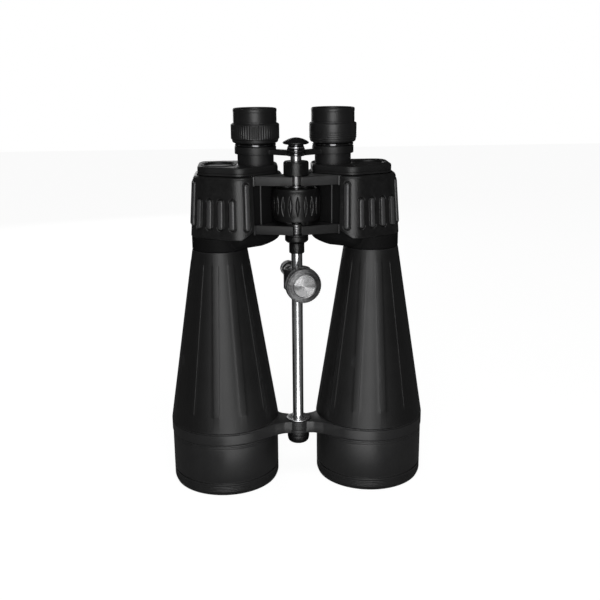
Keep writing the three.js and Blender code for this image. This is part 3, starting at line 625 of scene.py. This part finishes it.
housingLook = {
    "ridge": (45.5, -9.5), "outerFront": (81.7, 6.5), "back": 53, "inner": (13.8, 11.5),
    "rounds": (8, 12, 17, 13, 22), "foot": 220.5, "top": 271.7, "neck": 209.8,
    "neckRadius": 23.3, "wall": 2, "wheelSpace": 21.3,
    "voxel": 0.6, "eased": 5, "keep": 0.3,
}
lugLook = {
    "lower": (223.8, 231.4), "upper": (264.2, 271.7), "eye": 8.5, "axle": 3.45, "slot": 3.6,
    "front": -11, "slope": 15.5, "root": 34.9, "soft": 0.5, "tabHalf": 0.9,
    "tabProud": 3.4,
}
armourLook = {
    "thickness": 3.2, "flare": 0.09, "foot": 220.8, "top": 271.7, "start": 35.8, "end": 26.5,
    "ridgeRound": 18, "footRise": 7, "spacing": 0.3, "rows": 130, "topRound": 3.2,
    "longBar": (228.5, 266.5), "shortBar": (229, 253.5), "sideBar": (229.5, 267),
    "barHalf": 2.15, "trench": 0.8, "trenchDepth": 1.1, "barProud": 1.15, "edge": 0.3,
    "barX": (41, 52.4, 61.6, 70.2, 78.6), "sideStart": 8.5, "sidePitch": 9.6,
    "sideBars": 8, "longSideBars": 6,
}


def housingCorners(grow, ridgeRound=None):
    # plan of the housing as (x, y, radius) corners
    ridge, front, inner, back, rounds = pick(housingLook,
            "ridge outerFront inner back rounds")
    left, right = inner[0] - grow, front[0] + grow
    return [(left, inner[1] - grow * 0.5, rounds[0] + grow),
            (ridge[0], ridge[1] - grow * 1.1, ridgeRound or rounds[1]),
            (right, front[1] - grow * 0.6, rounds[2] + grow),
            (right, back + grow, rounds[3] + grow), (left, back + grow, rounds[4] + grow)]


def roundedPlan(corners, arc=10):
    # rounded outline, with the same number of points for any grow
    points = []
    for i, (x, y, radius) in enumerate(corners):
        here = Vector((x, y))
        back = (Vector(corners[i - 1][:2]) - here).normalized()
        ahead = (Vector(corners[(i + 1) % len(corners)][:2]) - here).normalized()
        reach = radius / tan(acos(back.dot(ahead)) / 2)
        points += cornerArc(here + back * reach, here, here + ahead * reach, arc)
    return points


def stepLengths(line):
    return [(b - a).length for a, b in zip(line, line[1:])]


def evenly(points, spacing, isClosed=True):
    # the same line with evenly spaced points
    line = points + points[:1] if isClosed else points
    lengths = stepLengths(line)
    total = sum(lengths)
    count = max(8, round(total / spacing))
    result, i, gone = [], 0, 0
    for k in range(count if isClosed else count + 1):
        want = total * k / count
        while i < len(lengths) - 1 and gone + lengths[i] < want:
            gone += lengths[i]
            i += 1
        t = (want - gone) / lengths[i] if lengths[i] else 0
        result.append(line[i].lerp(line[i + 1], min(1, t)))
    return result


def outlineNormals(points):
    neighbours = zip(points[1:] + points[:1], points[-1:] + points[:-1])
    return [Vector((b.y - a.y, a.x - b.x)).normalized() for b, a in neighbours]


def slabMesh(outline, levels, centre=(0, 0)):
    # solid with the outline's plan; levels are (z, grow) or (z, grow, scale about the centre)
    turns = sum(a.x * b.y - b.x * a.y for a, b in zip(outline, outline[1:] + outline[:1]))
    outline = outline[::-1] if turns < 0 else outline
    normals = outlineNormals(outline)
    middle = Vector(centre)
    shape = bmesh.new()
    rows = []
    for z, grow, *scale in levels:
        share = scale[0] if scale else 1
        rows.append([shape.verts.new((*(middle + (p + n * grow - middle) * share), z))
                for p, n in zip(outline, normals)])
    skinRows(shape, rows)
    shape.faces.new(rows[0][::-1])
    shape.faces.new(rows[-1])
    return takeMesh(shape, False)


def boxMesh(low, high):
    (x0, y0, z0), (x1, y1, z1) = low, high
    outline = [Vector(place) for place in ((x0, y0), (x1, y0), (x1, y1), (x0, y1))]
    return slabMesh(outline, [(z0, 0), (z1, 0)])


def plateMesh(corners, arc, low, high, soft):
    # plate with its upper and lower edges eased
    rising = [(0, -soft), (soft * 0.3, -soft * 0.3), (soft, 0)]
    levels = [(low + step, grow) for step, grow in rising]
    levels += [(high - step, grow) for step, grow in reversed(rising)]
    return slabMesh(roundedPlan(corners, arc), levels)


def lugMesh(level, isLow):
    # hinge lug: a flat plate with a tab at its root and an eye at the hinge
    look = lugLook
    low, high = look[level]
    own, other = splitKnuckle(low, high, isLow)
    root, front, slot, eye, half, soft = pick(look, "root front slot eye tabHalf soft")
    edge = front + (root - slot) * tan(radians(look["slope"]))
    tip = edge - look["tabProud"]
    plate = plateMesh([(slot, front, 0.4), (root, edge, 0.4), (root, 23.35, 0.4),
            (slot, eye, 0.4)], 5, low, high, soft)
    tab = plateMesh([(root - half, tip, 0.8), (root + half, tip, 0.8),
            (root + half, edge + 6, 0.1), (root - half, edge + 6, 0.1)],
            5, low - 0.2, high + 0.2, soft)
    return solidMesh([plate, tab, drumMesh(eye, *own)], [
        drumMesh(eye + 0.35, *other), drumMesh(look["axle"], low - 1, high + 1),
        boxMesh((-slot, front - 2, low - 1), (slot, 0, high + 1))])


def castingMesh():
    foot, top, neck, radius, space = pick(housingLook, "foot top neck neckRadius wheelSpace")
    barrel, window = barrelLook["axis"], (lugLook["lower"][1], lugLook["upper"][0])
    plan = roundedPlan(housingCorners(0))
    shoulder = [(neck + (foot - neck) * t, 0.4, 0.62 + 0.38 * sin(radians(90 * t)) ** 0.8)
            for t in (0.12, 0.25, 0.4, 0.55, 0.7, 0.85, 1)] + [(foot + 1, 0)]
    room = roundedPlan(housingCorners(-housingLook["wall"]))
    room = slabMesh(room, [(foot + 2.5, 0), (top + 5, 0)])
    cavity = solidMesh([room], [drumMesh(space + 2, window[0] - 2, window[1] + 2)])
    return solidMesh([slabMesh(plan, [(foot, 0), (top, 0)]), slabMesh(plan, shoulder, barrel),
         drumMesh(radius, neck, foot + 0.5, barrel, 96)],
        [drumMesh(space, *window), cavity, drumMesh(radius - 2.5, neck - 2, foot + 4, barrel)],
        *pick(housingLook, "voxel eased keep"))


def barHeight(gap, rise, low, high):
    # round-topped bar in a trench; gap is the sideways distance from its middle
    half, trench, depth, edge, proud = pick(armourLook,
            "barHalf trench trenchDepth edge barProud")
    away = hypot(gap, max(low + half - rise, rise - (high - half), 0))
    if away < half:
        return proud * sqrt(1 - (away / half) ** 2) - depth * max(0, 1 - (half - away) / edge)
    return -depth * min(1, max(0, 1 - (away - half - trench) / edge))


def armourPath(grow, ridgeRound):
    # from the front end beside the hinge, round the outside, to the rear end
    corners = housingCorners(grow, ridgeRound)
    start, end = armourLook["start"], armourLook["end"]
    inner, ridge = Vector(corners[0][:2]), Vector(corners[1][:2])
    first = inner.lerp(ridge, (start - inner.x) / (ridge.x - inner.x))
    kept = [p for p in roundedPlan(corners, 14)[15:] if p.x > start or p.y > end]
    return [first] + kept + [Vector((corners[4][0], end))]


def armourBars(outer, travel):
    # (distance along the armour, (foot, top)) of each bar
    look = armourLook
    near = [min(range(len(outer) // 2), key=lambda i: abs(outer[i].x - x))
            for x in look["barX"]]
    places = [travel[i] for i in near]
    corner, pitch = places[-1] + look["sideStart"], look["sidePitch"]
    places += [corner + k * pitch for k in range(look["sideBars"])]
    ends = [look["longBar"]] + [look["shortBar"]] * (len(near) - 1)
    ends += [look["sideBar"]] * look["longSideBars"] + [look["shortBar"]] * look["sideBars"]
    return list(zip(places, ends))


def armourMesh():
    # barred sheet wrapped round the housing, flared towards its foot
    look = armourLook
    foot, top, start, count, thickness = pick(look, "foot top start rows thickness")
    topRound, proud, rise = pick(look, "topRound barProud footRise")
    outer = evenly(armourPath(thickness, look["ridgeRound"]), look["spacing"], False)
    base = armourPath(0.3, housingLook["rounds"][1])
    inner = evenly(base, sum(stepLengths(base)) / (len(outer) - 1), False)
    normals = outlineNormals(outer)
    normals[0], normals[-1] = normals[1], normals[-2]
    travel = list(accumulate(stepLengths(outer), initial=0))
    bars = armourBars(outer, travel)
    centre = Vector((housingLook["ridge"][0], 23.35))
    lifts = [rise * max(0, centre.x - p.x) / (centre.x - start) * (p.y < centre.y)
            for p in outer]
    shape = bmesh.new()
    polish_and_painted_highlight = shape.verts.layers.float.new("polish_and_painted_highlight")
    rows = []
    for k in range(count + 1):
        level = foot + (top - foot) * k / count
        share = (top - level) / (top - foot)
        flare = 1 + look["flare"] * share
        drop = max(0, level - (top - topRound)) / topRound
        drawIn = (1 - sqrt(max(0, 1 - drop * drop))) * (thickness - 0.7) if k else 0.5
        row = []
        for point, normal, gone, lift in zip(outer, normals, travel, lifts):
            z = level + lift * share
            raised = sum(barHeight(gone - place, z, *ends)
                    for place, ends in bars if abs(gone - place) < 4)
            spot = centre + (point + normal * (raised - drawIn) - centre) * flare
            row.append(shape.verts.new((*spot, z)))
            # how proud the bar is here: the mask for its crown's polish and painted highlight
            row[-1][polish_and_painted_highlight] = min(1, max(0, raised / proud))
        rows.append(row)
    back = [[shape.verts.new((*point, foot + lift)) for point, lift in zip(inner, lifts)],
            [shape.verts.new((*point, top)) for point in inner]]
    loop = rows + back[::-1]
    for low, high in zip(loop[-1:] + loop, loop):
        for i in range(len(outer) - 1):
            shape.faces.new((low[i], low[i + 1], high[i + 1], high[i]))
    shape.faces.new([row[0] for row in reversed(loop)])
    shape.faces.new([row[-1] for row in loop])
    return takeMesh(shape)


coverLook = {
    "ridgeRound": 14, "foot": 272, "top": 279, "setback": 0.5, "round": 1.5,
    "dish": (63.5, 24), "dishSize": (14.5, 17), "dishDepth": 1.1, "beadProud": 0.55,
    "bore": 16.65, "screws": ((47.5, 1.5), (77, 44.5), (44, 48)), "screwRadius": 2.3,
}
windowLook = {"x": 29.4, "half": 0.55, "proud": 1.5, "foot": 231.6, "top": 264}


def coverMesh():
    look = coverLook
    foot, top, soft = pick(look, "foot top round")
    plan = evenly(roundedPlan(housingCorners(-look["setback"], look["ridgeRound"])), 1.2)
    turns = [pi / 2 * k / 6 for k in range(7)]
    body = slabMesh(plan, [(foot, -0.4), (foot + 0.4, 0), (foot + 1.9, 0), (foot + 2.2, -0.3),
            (foot + 2.5, 0)]
            + [(top - soft + soft * sin(a), -soft + soft * cos(a)) for a in turns])
    crest, floor = top + look["beadProud"], top - look["dishDepth"]
    bead = [(0, top - 2), (1.08, top - 2), (1.08, top + 0.02, 0.04), (1.04, crest, 0.04),
            (0.96, crest, 0.04), (0.9, top - 0.5), (0, top - 0.5)]
    hollow = [(0, floor), (0.82, floor, 0.05), (0.93, top + 2), (0, top + 2)]
    bead, hollow = (turnedMesh(points, 72, None, look["dish"], look["dishSize"])
            for points in (bead, hollow))
    sinks = [drumMesh(look["screwRadius"] + 0.5, top - 1, top + 2, place, 32)
            for place in look["screws"]]
    bore = drumMesh(look["bore"], foot - 1, top + 2, eyeAxis, 96)
    return solidMesh([body, bead], [hollow, bore, *sinks])


def screwMesh(place):
    # cross recessed screw, a hair proud of the cover
    radius, level = coverLook["screwRadius"], coverLook["top"] + 0.1
    neck, under, end = radius * 0.45, level - 1, level - 3.5
    body = turnedMesh([(0, end), (neck, end), (neck, under), (radius, under, 0.1),
            (radius, level - 0.35, 0.2), (radius * 0.6, level, 0.4), (0, level)], 32)
    half, reach = 0.28, radius * 0.62
    cross = [boxMesh((-x, -y, level - 0.7), (x, y, level + 1))
            for x, y in ((reach, half), (half, reach))]
    screw = solidMesh([body], cross)
    screw.transform(Matrix.Translation((*place, 0)))
    return screw


def windowEdgeMesh():
    # upright rib of the casting beside the wheel's window
    look = windowLook
    inner, ridge = Vector(housingLook["inner"]), Vector(housingLook["ridge"])
    x, half, foot, top = pick(look, "x half foot top")
    y = inner.lerp(ridge, (x - inner.x) / (ridge.x - inner.x)).y
    front, back = y - look["proud"], y + 1.2
    corners = [(x - half, front, 0.3), (x + half, front, 0.3), (x + half + 0.3, back, 0.1),
            (x - half - 0.3, back, 0.1)]
    return slabMesh(roundedPlan(corners, 4), [(foot, 0), (top, 0)])


casting, armour, cover = castingMesh(), armourMesh(), coverMesh()
for side, sign in sides.items():
    addSolid(side, "casting", casting.copy(), 60, "prism_housing", "shaded_cast_paint")
    addSolid(side, "upper_lug", lugMesh("upper", sign < 0), look="lit_lug_paint")
    addSolid(side, "lower_lug", lugMesh("lower", sign > 0))
    addSolid(side, "rubber", armour.copy(), 70, "armour", slot="armour_rubber")
    addSolid(side, "cover", cover.copy(), 35, "cover_plate")
    for k, place in enumerate(coverLook["screws"], 1):
        addSolid(side, f"cover_screw_{k}", screwMesh(place), look="black_steel", slot="steel")
    addSolid(side, "window_edge", windowEdgeMesh())
print("housings made")


# Braces round the barrels and arms of the eyepieces

braceLook = {"foot": 46.9, "top": 57.5, "share": 0.3, "radius": 47.4, "inside": 43.7,
        "eye": 11, "bore": 5.05, "soft": 0.6}
armLook = {"foot": 287.8, "top": 294, "hub": 7, "sleeve": 0.4, "waist": 4.6,
        "ferrule": 17.4, "bore": 15.5, "spindle": 4.8, "soft": 0.7, "barTop": 291.8}


def braceMesh(isRight):
    low, high, eye, radius, inside, bore, share, soft = pick(
        braceLook, "foot top eye radius inside bore share soft")
    own, other = splitKnuckle(low, high, not isRight, share)
    barrel = barrelLook["axis"]
    corners = [(4, -9, 1), (13, -9.4, 8), (21, -12.6, 8), (40, -24.4, 12), (52, -29.8, 1),
            (52, 40, 1), (27, 33, 3), (15, 13.5, 8), (4, 9, 1)]
    arm = plateMesh(corners, 6, low, high, soft)
    height = own[1] - own[0]
    steps = max(1, int(height / 1.8))
    levels = [own[0] + height * k / steps for k in range(1, steps)]
    lines = [(0, own[0]), (eye, own[0], 0.4), *grooves(eye, levels, 0.25, 0.3),
            (eye, own[1], 0.4), (0, own[1])]
    band = [(0, low), (radius - 0.1, low, 0.5), (radius, low + 1.2, 0.2),
            *grooves(radius, [high - 1.1], 0.8, 0.5), (radius, high, 0.5), (0, high)]
    return solidMesh([turnedMesh(band, 128, centre=barrel), arm, turnedMesh(lines, 64)],
            [drumMesh(inside, low - 1, high + 1, barrel, 128),
            drumMesh(bore, low - 1, high + 1, segments=48), drumMesh(eye + 0.35, *other)])


def armMesh(isRight):
    low, high, hub, sleeve, waist, ferrule, bore, spindle, soft = pick(
        armLook, "foot top hub sleeve waist ferrule bore spindle soft")
    own, other = splitKnuckle(low, high, isRight)
    reach = hypot(*eyeAxis)
    corners = [(3, -4.6, 0.5), (reach - 18, -waist, 3), (reach - 12, -6.5, 1),
            (reach - 12, 6.5, 1), (reach - 18, waist, 3), (3, 4.6, 0.5)]
    bar = plateMesh(corners, 6, low, armLook["barTop"], soft)
    bar.transform(Matrix.Rotation(atan2(eyeAxis[1], eyeAxis[0]), 4, "Z"))
    return solidMesh([bar, drumMesh(hub, *own, soft=0.4),
            drumMesh(ferrule, low, high, eyeAxis, 96, soft)],
            [drumMesh(hub + sleeve + 0.3, *other),
            drumMesh(spindle, low - 1, high + 1, segments=48),
            drumMesh(bore, low - 1, high + 1, eyeAxis, 96)])


def armSleeve(isRight):
    # bright bush round the arm's eye
    look = armLook
    foot, top = splitKnuckle(look["foot"], look["top"], isRight, gap=0.2)[0]
    hub, bulge = look["hub"], look["hub"] + look["sleeve"]
    return [(hub - 0.05, foot), (hub + 0.1, foot, 0.1), (bulge, foot + 0.8, 0.6),
            (bulge, top - 0.8, 0.6), (hub + 0.1, top, 0.1), (hub - 0.05, top)]


for side, sign in sides.items():
    addTurned({"arm_sleeve": (armSleeve(sign < 0), "eyepiece", "steel", None,
            "black_chrome", 72)}, side)
    addSolid(side, "brace_ring", braceMesh(sign < 0), 35, "brace", "cell_paint")
    addSolid(side, "bridge_arm", armMesh(sign < 0), 35, "eyepiece_arm", body="eyepiece")
print("braces and arms made")


# Centre column: wheel, hinge, rod and nut

wheelLook = {"radius": 19.8, "edge": 18, "bottom": 235.5, "top": 262, "bore": 3.35,
        "boss": 4, "bossFoot": 231.7, "bossTop": 263.9, "ovals": 20,
        "ovalHalf": 1.35, "ovalReach": 7.2, "lip": 0.5, "lipWidth": 0.5, "proud": 0.3,
        "columns": 26, "rows": 64}


def wheelShift(angle, r, z):
    # lens-shaped ovals, each with a groove round it
    look = wheelLook
    half, lip, edge, low, high = pick(look, "ovalHalf lip edge bottom top")
    rise = (z - (low + high) / 2) / look["ovalReach"]
    if r < edge - 0.6 or abs(rise) > 1.12:
        return r
    pitch = 2 * pi / look["ovals"]
    across = ((angle + pi / 2 + pitch / 2) % pitch - pitch / 2) * r
    inside = max(0, half * (1 - rise * rise)) - abs(across)
    if inside > 0:
        return r - lip + (lip + look["proud"] * min(1, inside / half)) * min(1, inside / 0.3)
    return r - lip * max(0, 1 + inside / look["lipWidth"])


def wheelPoints():
    low, high, edge, radius, count = pick(wheelLook, "bottom top edge radius rows")
    boss, bore, foot, head = pick(wheelLook, "boss bore bossFoot bossTop")
    side = [(edge + (radius - edge) * (1 - (2 * t - 1) ** 4),
            low + 0.8 + (high - low - 1.6) * t)
            for t in (k / count for k in range(count + 1))]
    face = [(boss, 0), (12.5, 0, 0.4), (13.4, 0.8, 0.4), (edge - 2, 0.8, 0.3),
            (edge - 1.2, 0, 0.4), (edge - 0.5, 0.15)]
    return [(bore, foot), (boss, foot, 0.3),
            *[(r, low + step, *soft) for r, step, *soft in face], *side,
            *[(r, high - step, *soft) for r, step, *soft in reversed(face)],
            (boss, head, 0.3), (bore, head)]


plain, dull = (None, 72), ("dull_steel", 72)
columnPieces = {
    "wheel": (wheelPoints(), "focus_wheel", "wheel_rubber", "focus_wheel",
        None, wheelLook["ovals"] * wheelLook["columns"], wheelShift),
    "wheel_washer_low": (ringPoints(4.05, 5.2, 234.2, 235.4, 0.3), "focus_wheel", "steel",
        None),
    "wheel_washer_high": (ringPoints(4.05, 5.2, 262.1, 263.3, 0.3), "focus_wheel", "steel",
        None),
    "cap_neck": ([(4.6, 295.4), (6.6, 295.4, 0.3), (6.2, 296.3, 0.3), (6.6, 297.2, 0.2),
        (4.6, 297.2)], "right_eyepiece", "steel", None, "black_chrome"),
    "arm_washer": (ringPoints(4.6, 6.9, 294.2, 295.2, 0.2), "right_eyepiece", "steel", None),
    "hinge_bush": (ringPoints(3.08, 3.28, 264.2, 271.7, 0.1), "right_half", "steel",
        "upper_hinge_bush", *dull),
    "hinge_pin": ([(0, 212.3), (4.2, 212.3, 0.2), (4.5, 212.8, 0.2), (4.5, 223.3, 0.2),
        (3.2, 223.6, 0.2), *grooves(3.2, (225.2, 227.1, 229.3), 0.6, 0.5),
        (3.2, 231, 0.2), (2.9, 231.4, 0.2), (0, 231.4)],
        "right_half", "steel", "lower_hinge_pin", *dull),
    "collar": ([(4.85, 272), (10.1, 272, 0.3), (10.4, 272.6, 0.3), (10.4, 282.4, 0.6),
        (9.8, 283.5, 0.4), (4.85, 283.5)], "right_half", "crackle", "hinge_collar", *plain),
    "hub": ([(4.8, 216.5), (8.2, 216.5, 0.3), (9.8, 218.1, 0.4), (9.8, 221.6, 0.2),
        (9.45, 221.9, 0.1), (9.8, 222.2, 0.2), (9.8, 223.5, 0.3), (4.8, 223.5)],
        "right_half", "crackle", "lower_hub", *plain),
    "column_collar": ([(5, 207.2), (6.1, 207.2, 0.3), (6.4, 207.8, 0.3),
        (6.4, 215.6, 0.3), (6, 216.2, 0.2), (5, 216.2)],
        "right_half", "crackle", "rod_collar", *plain),
    "rod": ([(0, 38), (4.2, 38, 0.2), (4.7, 38.6, 0.2), (4.7, 211.4, 0.2),
        (4.2, 212, 0.2), (0, 212)], "right_half", "chrome", "stabiliser_rod", *plain),
    "washer": (ringPoints(5, 10.1, 57.8, 58.8, 0.3), "right_half", "aluminium",
        "rod_washer", *plain),
    "nut": ([(5, 36.1), (7, 36.1, 0.8), (8.9, 37.6, 1.2), (9.6, 40.6, 1.2),
        (9.6, 43.2, 0.2), (9.2, 43.6, 0.2), (9.6, 44, 0.2), (9.6, 46.6, 0.4),
        (5, 46.6)], "right_half", "crackle", "rod_nut", *plain),
    "spindle": ([(0, 238), (2.6, 238, 0.2), (3, 238.6, 0.2), (3, 277.5),
        (4.5, 277.5, 0.3), (4.5, 300, 0.2), (0, 300)],
        "right_eyepiece", "steel", "focus_spindle", *plain),
    "cap": ([(0, 300.3), (4.8, 300.3), (4.8, 297.1), (9.6, 297.3, 0.4), (10.6, 297.9, 0.3),
        (10.7, 298.7, 0.3), (9.6, 299.6, 0.8), (6.8, 301.1, 1.5), (3.4, 302.2, 1.5),
        (0, 302.6)], "right_eyepiece", "crackle", "spindle_cap", *plain),
}

addTurned(columnPieces)
print("wheel and column made")


# Eyepieces

gripLook = {"ribs": 60, "depth": 0.5, "from": 300.9, "to": 311.5, "radius": 19.9}


def ribbedShift(look):
    # upright ribs round the band between two heights, outside the radius
    def shift(angle, r, z):
        if r < look["radius"] or not look["from"] <= z <= look["to"]:
            return r
        return r - look["depth"] * (0.5 - 0.5 * cos(look["ribs"] * angle))
    return shift


ringFoot = [(15.55, 296.9), (18.3, 296.9, 0.9), (19.3, 298.3, 0.9), (19.3, 299.6, 0.4)]
ringHead = [(19, 312.8, 0.3), (18.55, 312.8), (18.55, 308.9), (15.55, 308.9)]
ribbedRing = [*ringFoot, (20.2, 300.3, 0.3), (20.2, 301.4), (20.2, 306.2), (20.2, 311.2),
        (20.2, 311.9, 0.4), *ringHead]
plainRing = [*ringFoot, (19.8, 300.3, 0.3), *grooves(19.8, (301.6, 303.4, 305.2), 0.3, 0.3),
        (19.8, 312.2, 0.4), *ringHead]
eyepiecePieces = {
    # the pieces of the ocular have no body of their own here
    "tube": ([(13.6, 268), (15.2, 268, 0.2), (15.2, 300.8), (13.6, 300.8)],
        "eyepiece", "black_paint", "carriage_tube"),
    "neck_ring": ([(15.25, 294.4), (16.9, 294.4, 0.4), (17.2, 294.9, 0.5),
        (17.2, 295.9, 0.5), (16.7, 296.5, 0.4), (15.25, 296.5)],
        "eyepiece", "steel", None, "black_chrome"),
    "ocular": ([(12, 280), (13.2, 280, 0.2), (13.2, 314, 0.3), (12.6, 314, 0.2),
        (12, 313.2)], None, "inner_black", "ocular_tube"),
    "cup": ([(13.5, 311), (18.2, 311, 0.3), (18.2, 313.2, 0.2), (17.9, 313.7, 0.2),
        (18.1, 314.4, 0.3), (18, 321.6, 0.3), (18.2, 322.4, 0.3), (18.2, 324.2, 0.6),
        (17.5, 325, 0.5), (16.6, 324.9, 0.4), (16.4, 323.6, 0.3), (16.4, 313.2, 0.5),
        (15.6, 313, 0.3), (13.5, 313)], None, "armour_rubber", "eyecup", "cup_rubber"),
    "eye_glass": (lensPoints(11.6, 10.6, 307, 3, 1, 1, 8), None, "glass", "eye_lens",
        None, 64),
    "field_glass": (lensPoints(11.6, 10.6, 284, 3, 1.5, 1.5, 8), None, "glass",
        "field_lens", None, 64),
    "bush": ([(15.55, 266.5), (16.35, 266.5), (16.35, 278.9, 0.1), (15.55, 278.9, 0.1)],
        "half", "steel", "guide_bush"),
}
ringPieces = {
    "right_": {"dioptre_grip": (ribbedRing, "right_dioptre", "black_paint",
        "right_dioptre_ring", "ring_paint", 6 * gripLook["ribs"], ribbedShift(gripLook), 50)},
    "left_": {"plain_ring": (plainRing, "left_eyepiece", "black_paint",
        "left_eyepiece_ring", "ring_paint")},
}


# the right ocular turns for the dioptre, the left one is fixed in its carriage
x, y = eyeAxis
for side, sign in sides.items():
    ocular = "ocular" if sign < 0 else "eyepiece"
    pieces = {name: (points, body or ocular, *labels)
            for name, (points, body, *labels) in eyepiecePieces.items()}
    addTurned(pieces, side, (sign * x, y))
for side, sign in sides.items():
    addTurned(ringPieces[side], "", (sign * x, y))
print("eyepieces made")


# Tripod clamp and its thumb knob, turned a little round the rod

clampLook = {"level": 185, "turn": 8.6, "half": 9, "radius": 11.4, "bore": 7.35,
        "voxel": 0.4, "eased": 6}
knobLook = {"ribs": 56, "depth": 0.5, "from": 22.3, "to": 28, "radius": 14}
knobPoints = [(0, 7.4), (2.7, 7.4, 0.2), (3, 7.8, 0.2), (3, 14.2), (7.6, 14.2, 0.3),
        (8, 14.7, 0.3), (8, 20.8, 0.3), (13.4, 20.8, 0.4), (14.8, 22, 0.4),
        (14.8, 27, 0.3), (14.3, 27.8, 0.2), (13.3, 28.1, 0.2), (12.9, 28.5, 0.2),
        (11.4, 28.9, 0.2), (11, 29.3, 0.2), (9.7, 29.7, 0.2), (9.4, 29.7, 0.2),
        (9.1, 29.3, 0.2), (8.8, 29.5, 0.2), (0, 29.5)]


def laid(mesh, degrees):
    # a mesh turned about X, from the piece's Z to the clamp's front or rear
    mesh.transform(Matrix.Rotation(radians(degrees), 4, "X"))
    return mesh


def clampPlace(degrees=0):
    # mm about the clamp's middle to the frame, with Z laid to its front (90) or rear (-90)
    turn = Matrix.Rotation(radians(clampLook["turn"]), 4, "Z")
    lay = Matrix.Rotation(radians(degrees), 4, "X")
    return Matrix.Translation((0, hingeY * mm, clampLook["level"] * mm)) @ turn @ lay


def clampMesh():
    look = clampLook
    half = look["half"]
    boss = turnedMesh([(0, 0), (8, 0), (8, 13.9, 0.5), (0, 13.9)], 64)
    post = turnedMesh([(0, 0), (5.5, 0), (5.5, 34, 0.4), (6.8, 34.8, 0.5),
            (6.8, 40, 0.6), (0, 40)], 64)
    solid = solidMesh([drumMesh(look["radius"], -half, half, soft=1.2), laid(boss, 90),
            laid(post, -90)], [drumMesh(look["bore"], -20, 20),
            laid(drumMesh(3.3, 0, 16, segments=32), 90),
            laid(drumMesh(3.2, 31, 42, segments=32), -90)], look["voxel"], look["eased"])
    solid.transform(clampPlace() @ Matrix.Scale(mm, 4))
    return solid


def laidPiece(points, shift, segments, degrees, *labels):
    # a turned piece across the rod, which keeps its own Z for its finish
    mesh = turnedMesh(points, segments, shift)
    mesh.transform(Matrix.Scale(mm, 4))
    addPiece(mesh, "", *labels).matrix_world = clampPlace(degrees)


level, half = pick(clampLook, "level half")
addTurned({"slide_bush": (ringPoints(5.05, 7.05, level - half, level + half, 0.2),
        "clamp_bush", "steel", "clamp_bush", None, 64)})
addPiece(clampMesh(), "", "clamp_body", "tripod_clamp", "crackle", "tripod_clamp",
        "black_steel", 60)
laidPiece(ringPoints(5.6, 6.9, 34.4, 39.9, 0.8), None, 64, -90,
        "post_head", "tripod_clamp", "steel", None, "dull_steel", 35)
laidPiece(knobPoints, ribbedShift(knobLook), 6 * knobLook["ribs"], 90,
        "knob", "thumb_knob", "aluminium", "thumb_knob", "turned_face")
print("clamp made")


# CAD pieces that stay inside, and the stage

insideLooks = {"clip": "steel", "er_prism": "glass", "shelf": "inner_black"}
floorLook = {"drop": 0.0002, "size": 3, "grey": 0.18, "glow": 0.92}


for name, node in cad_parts.items():
    if node.hide_render:
        continue
    look = next((look for key, look in insideLooks.items() if key in name), "black_paint")
    for slot in node.material_slots:
        slot.material = materials[look]
# white where the camera sees it, grey for the light that it throws back
shape = bmesh.new()
bmesh.ops.create_grid(shape, x_segments=1, y_segments=1, size=floorLook["size"])
mesh = takeMesh(shape)
floor = linkObject("floor", mesh)
floor.location.z = -floorLook["drop"]
material, tree, shader = newMaterial("pale_floor", {
    "Roughness": 0.9, "Base Color": (*[floorLook["grey"]] * 3, 1),
    "Emission Color": (1, 1, 1, 1)})
seen = addNode(tree, "LightPath").outputs["Is Camera Ray"]
feed(tree, shader, {"Emission Strength": spreadValue(tree, seen, 0, floorLook["glow"])})
mesh.materials.append(material)
print("stage ready")
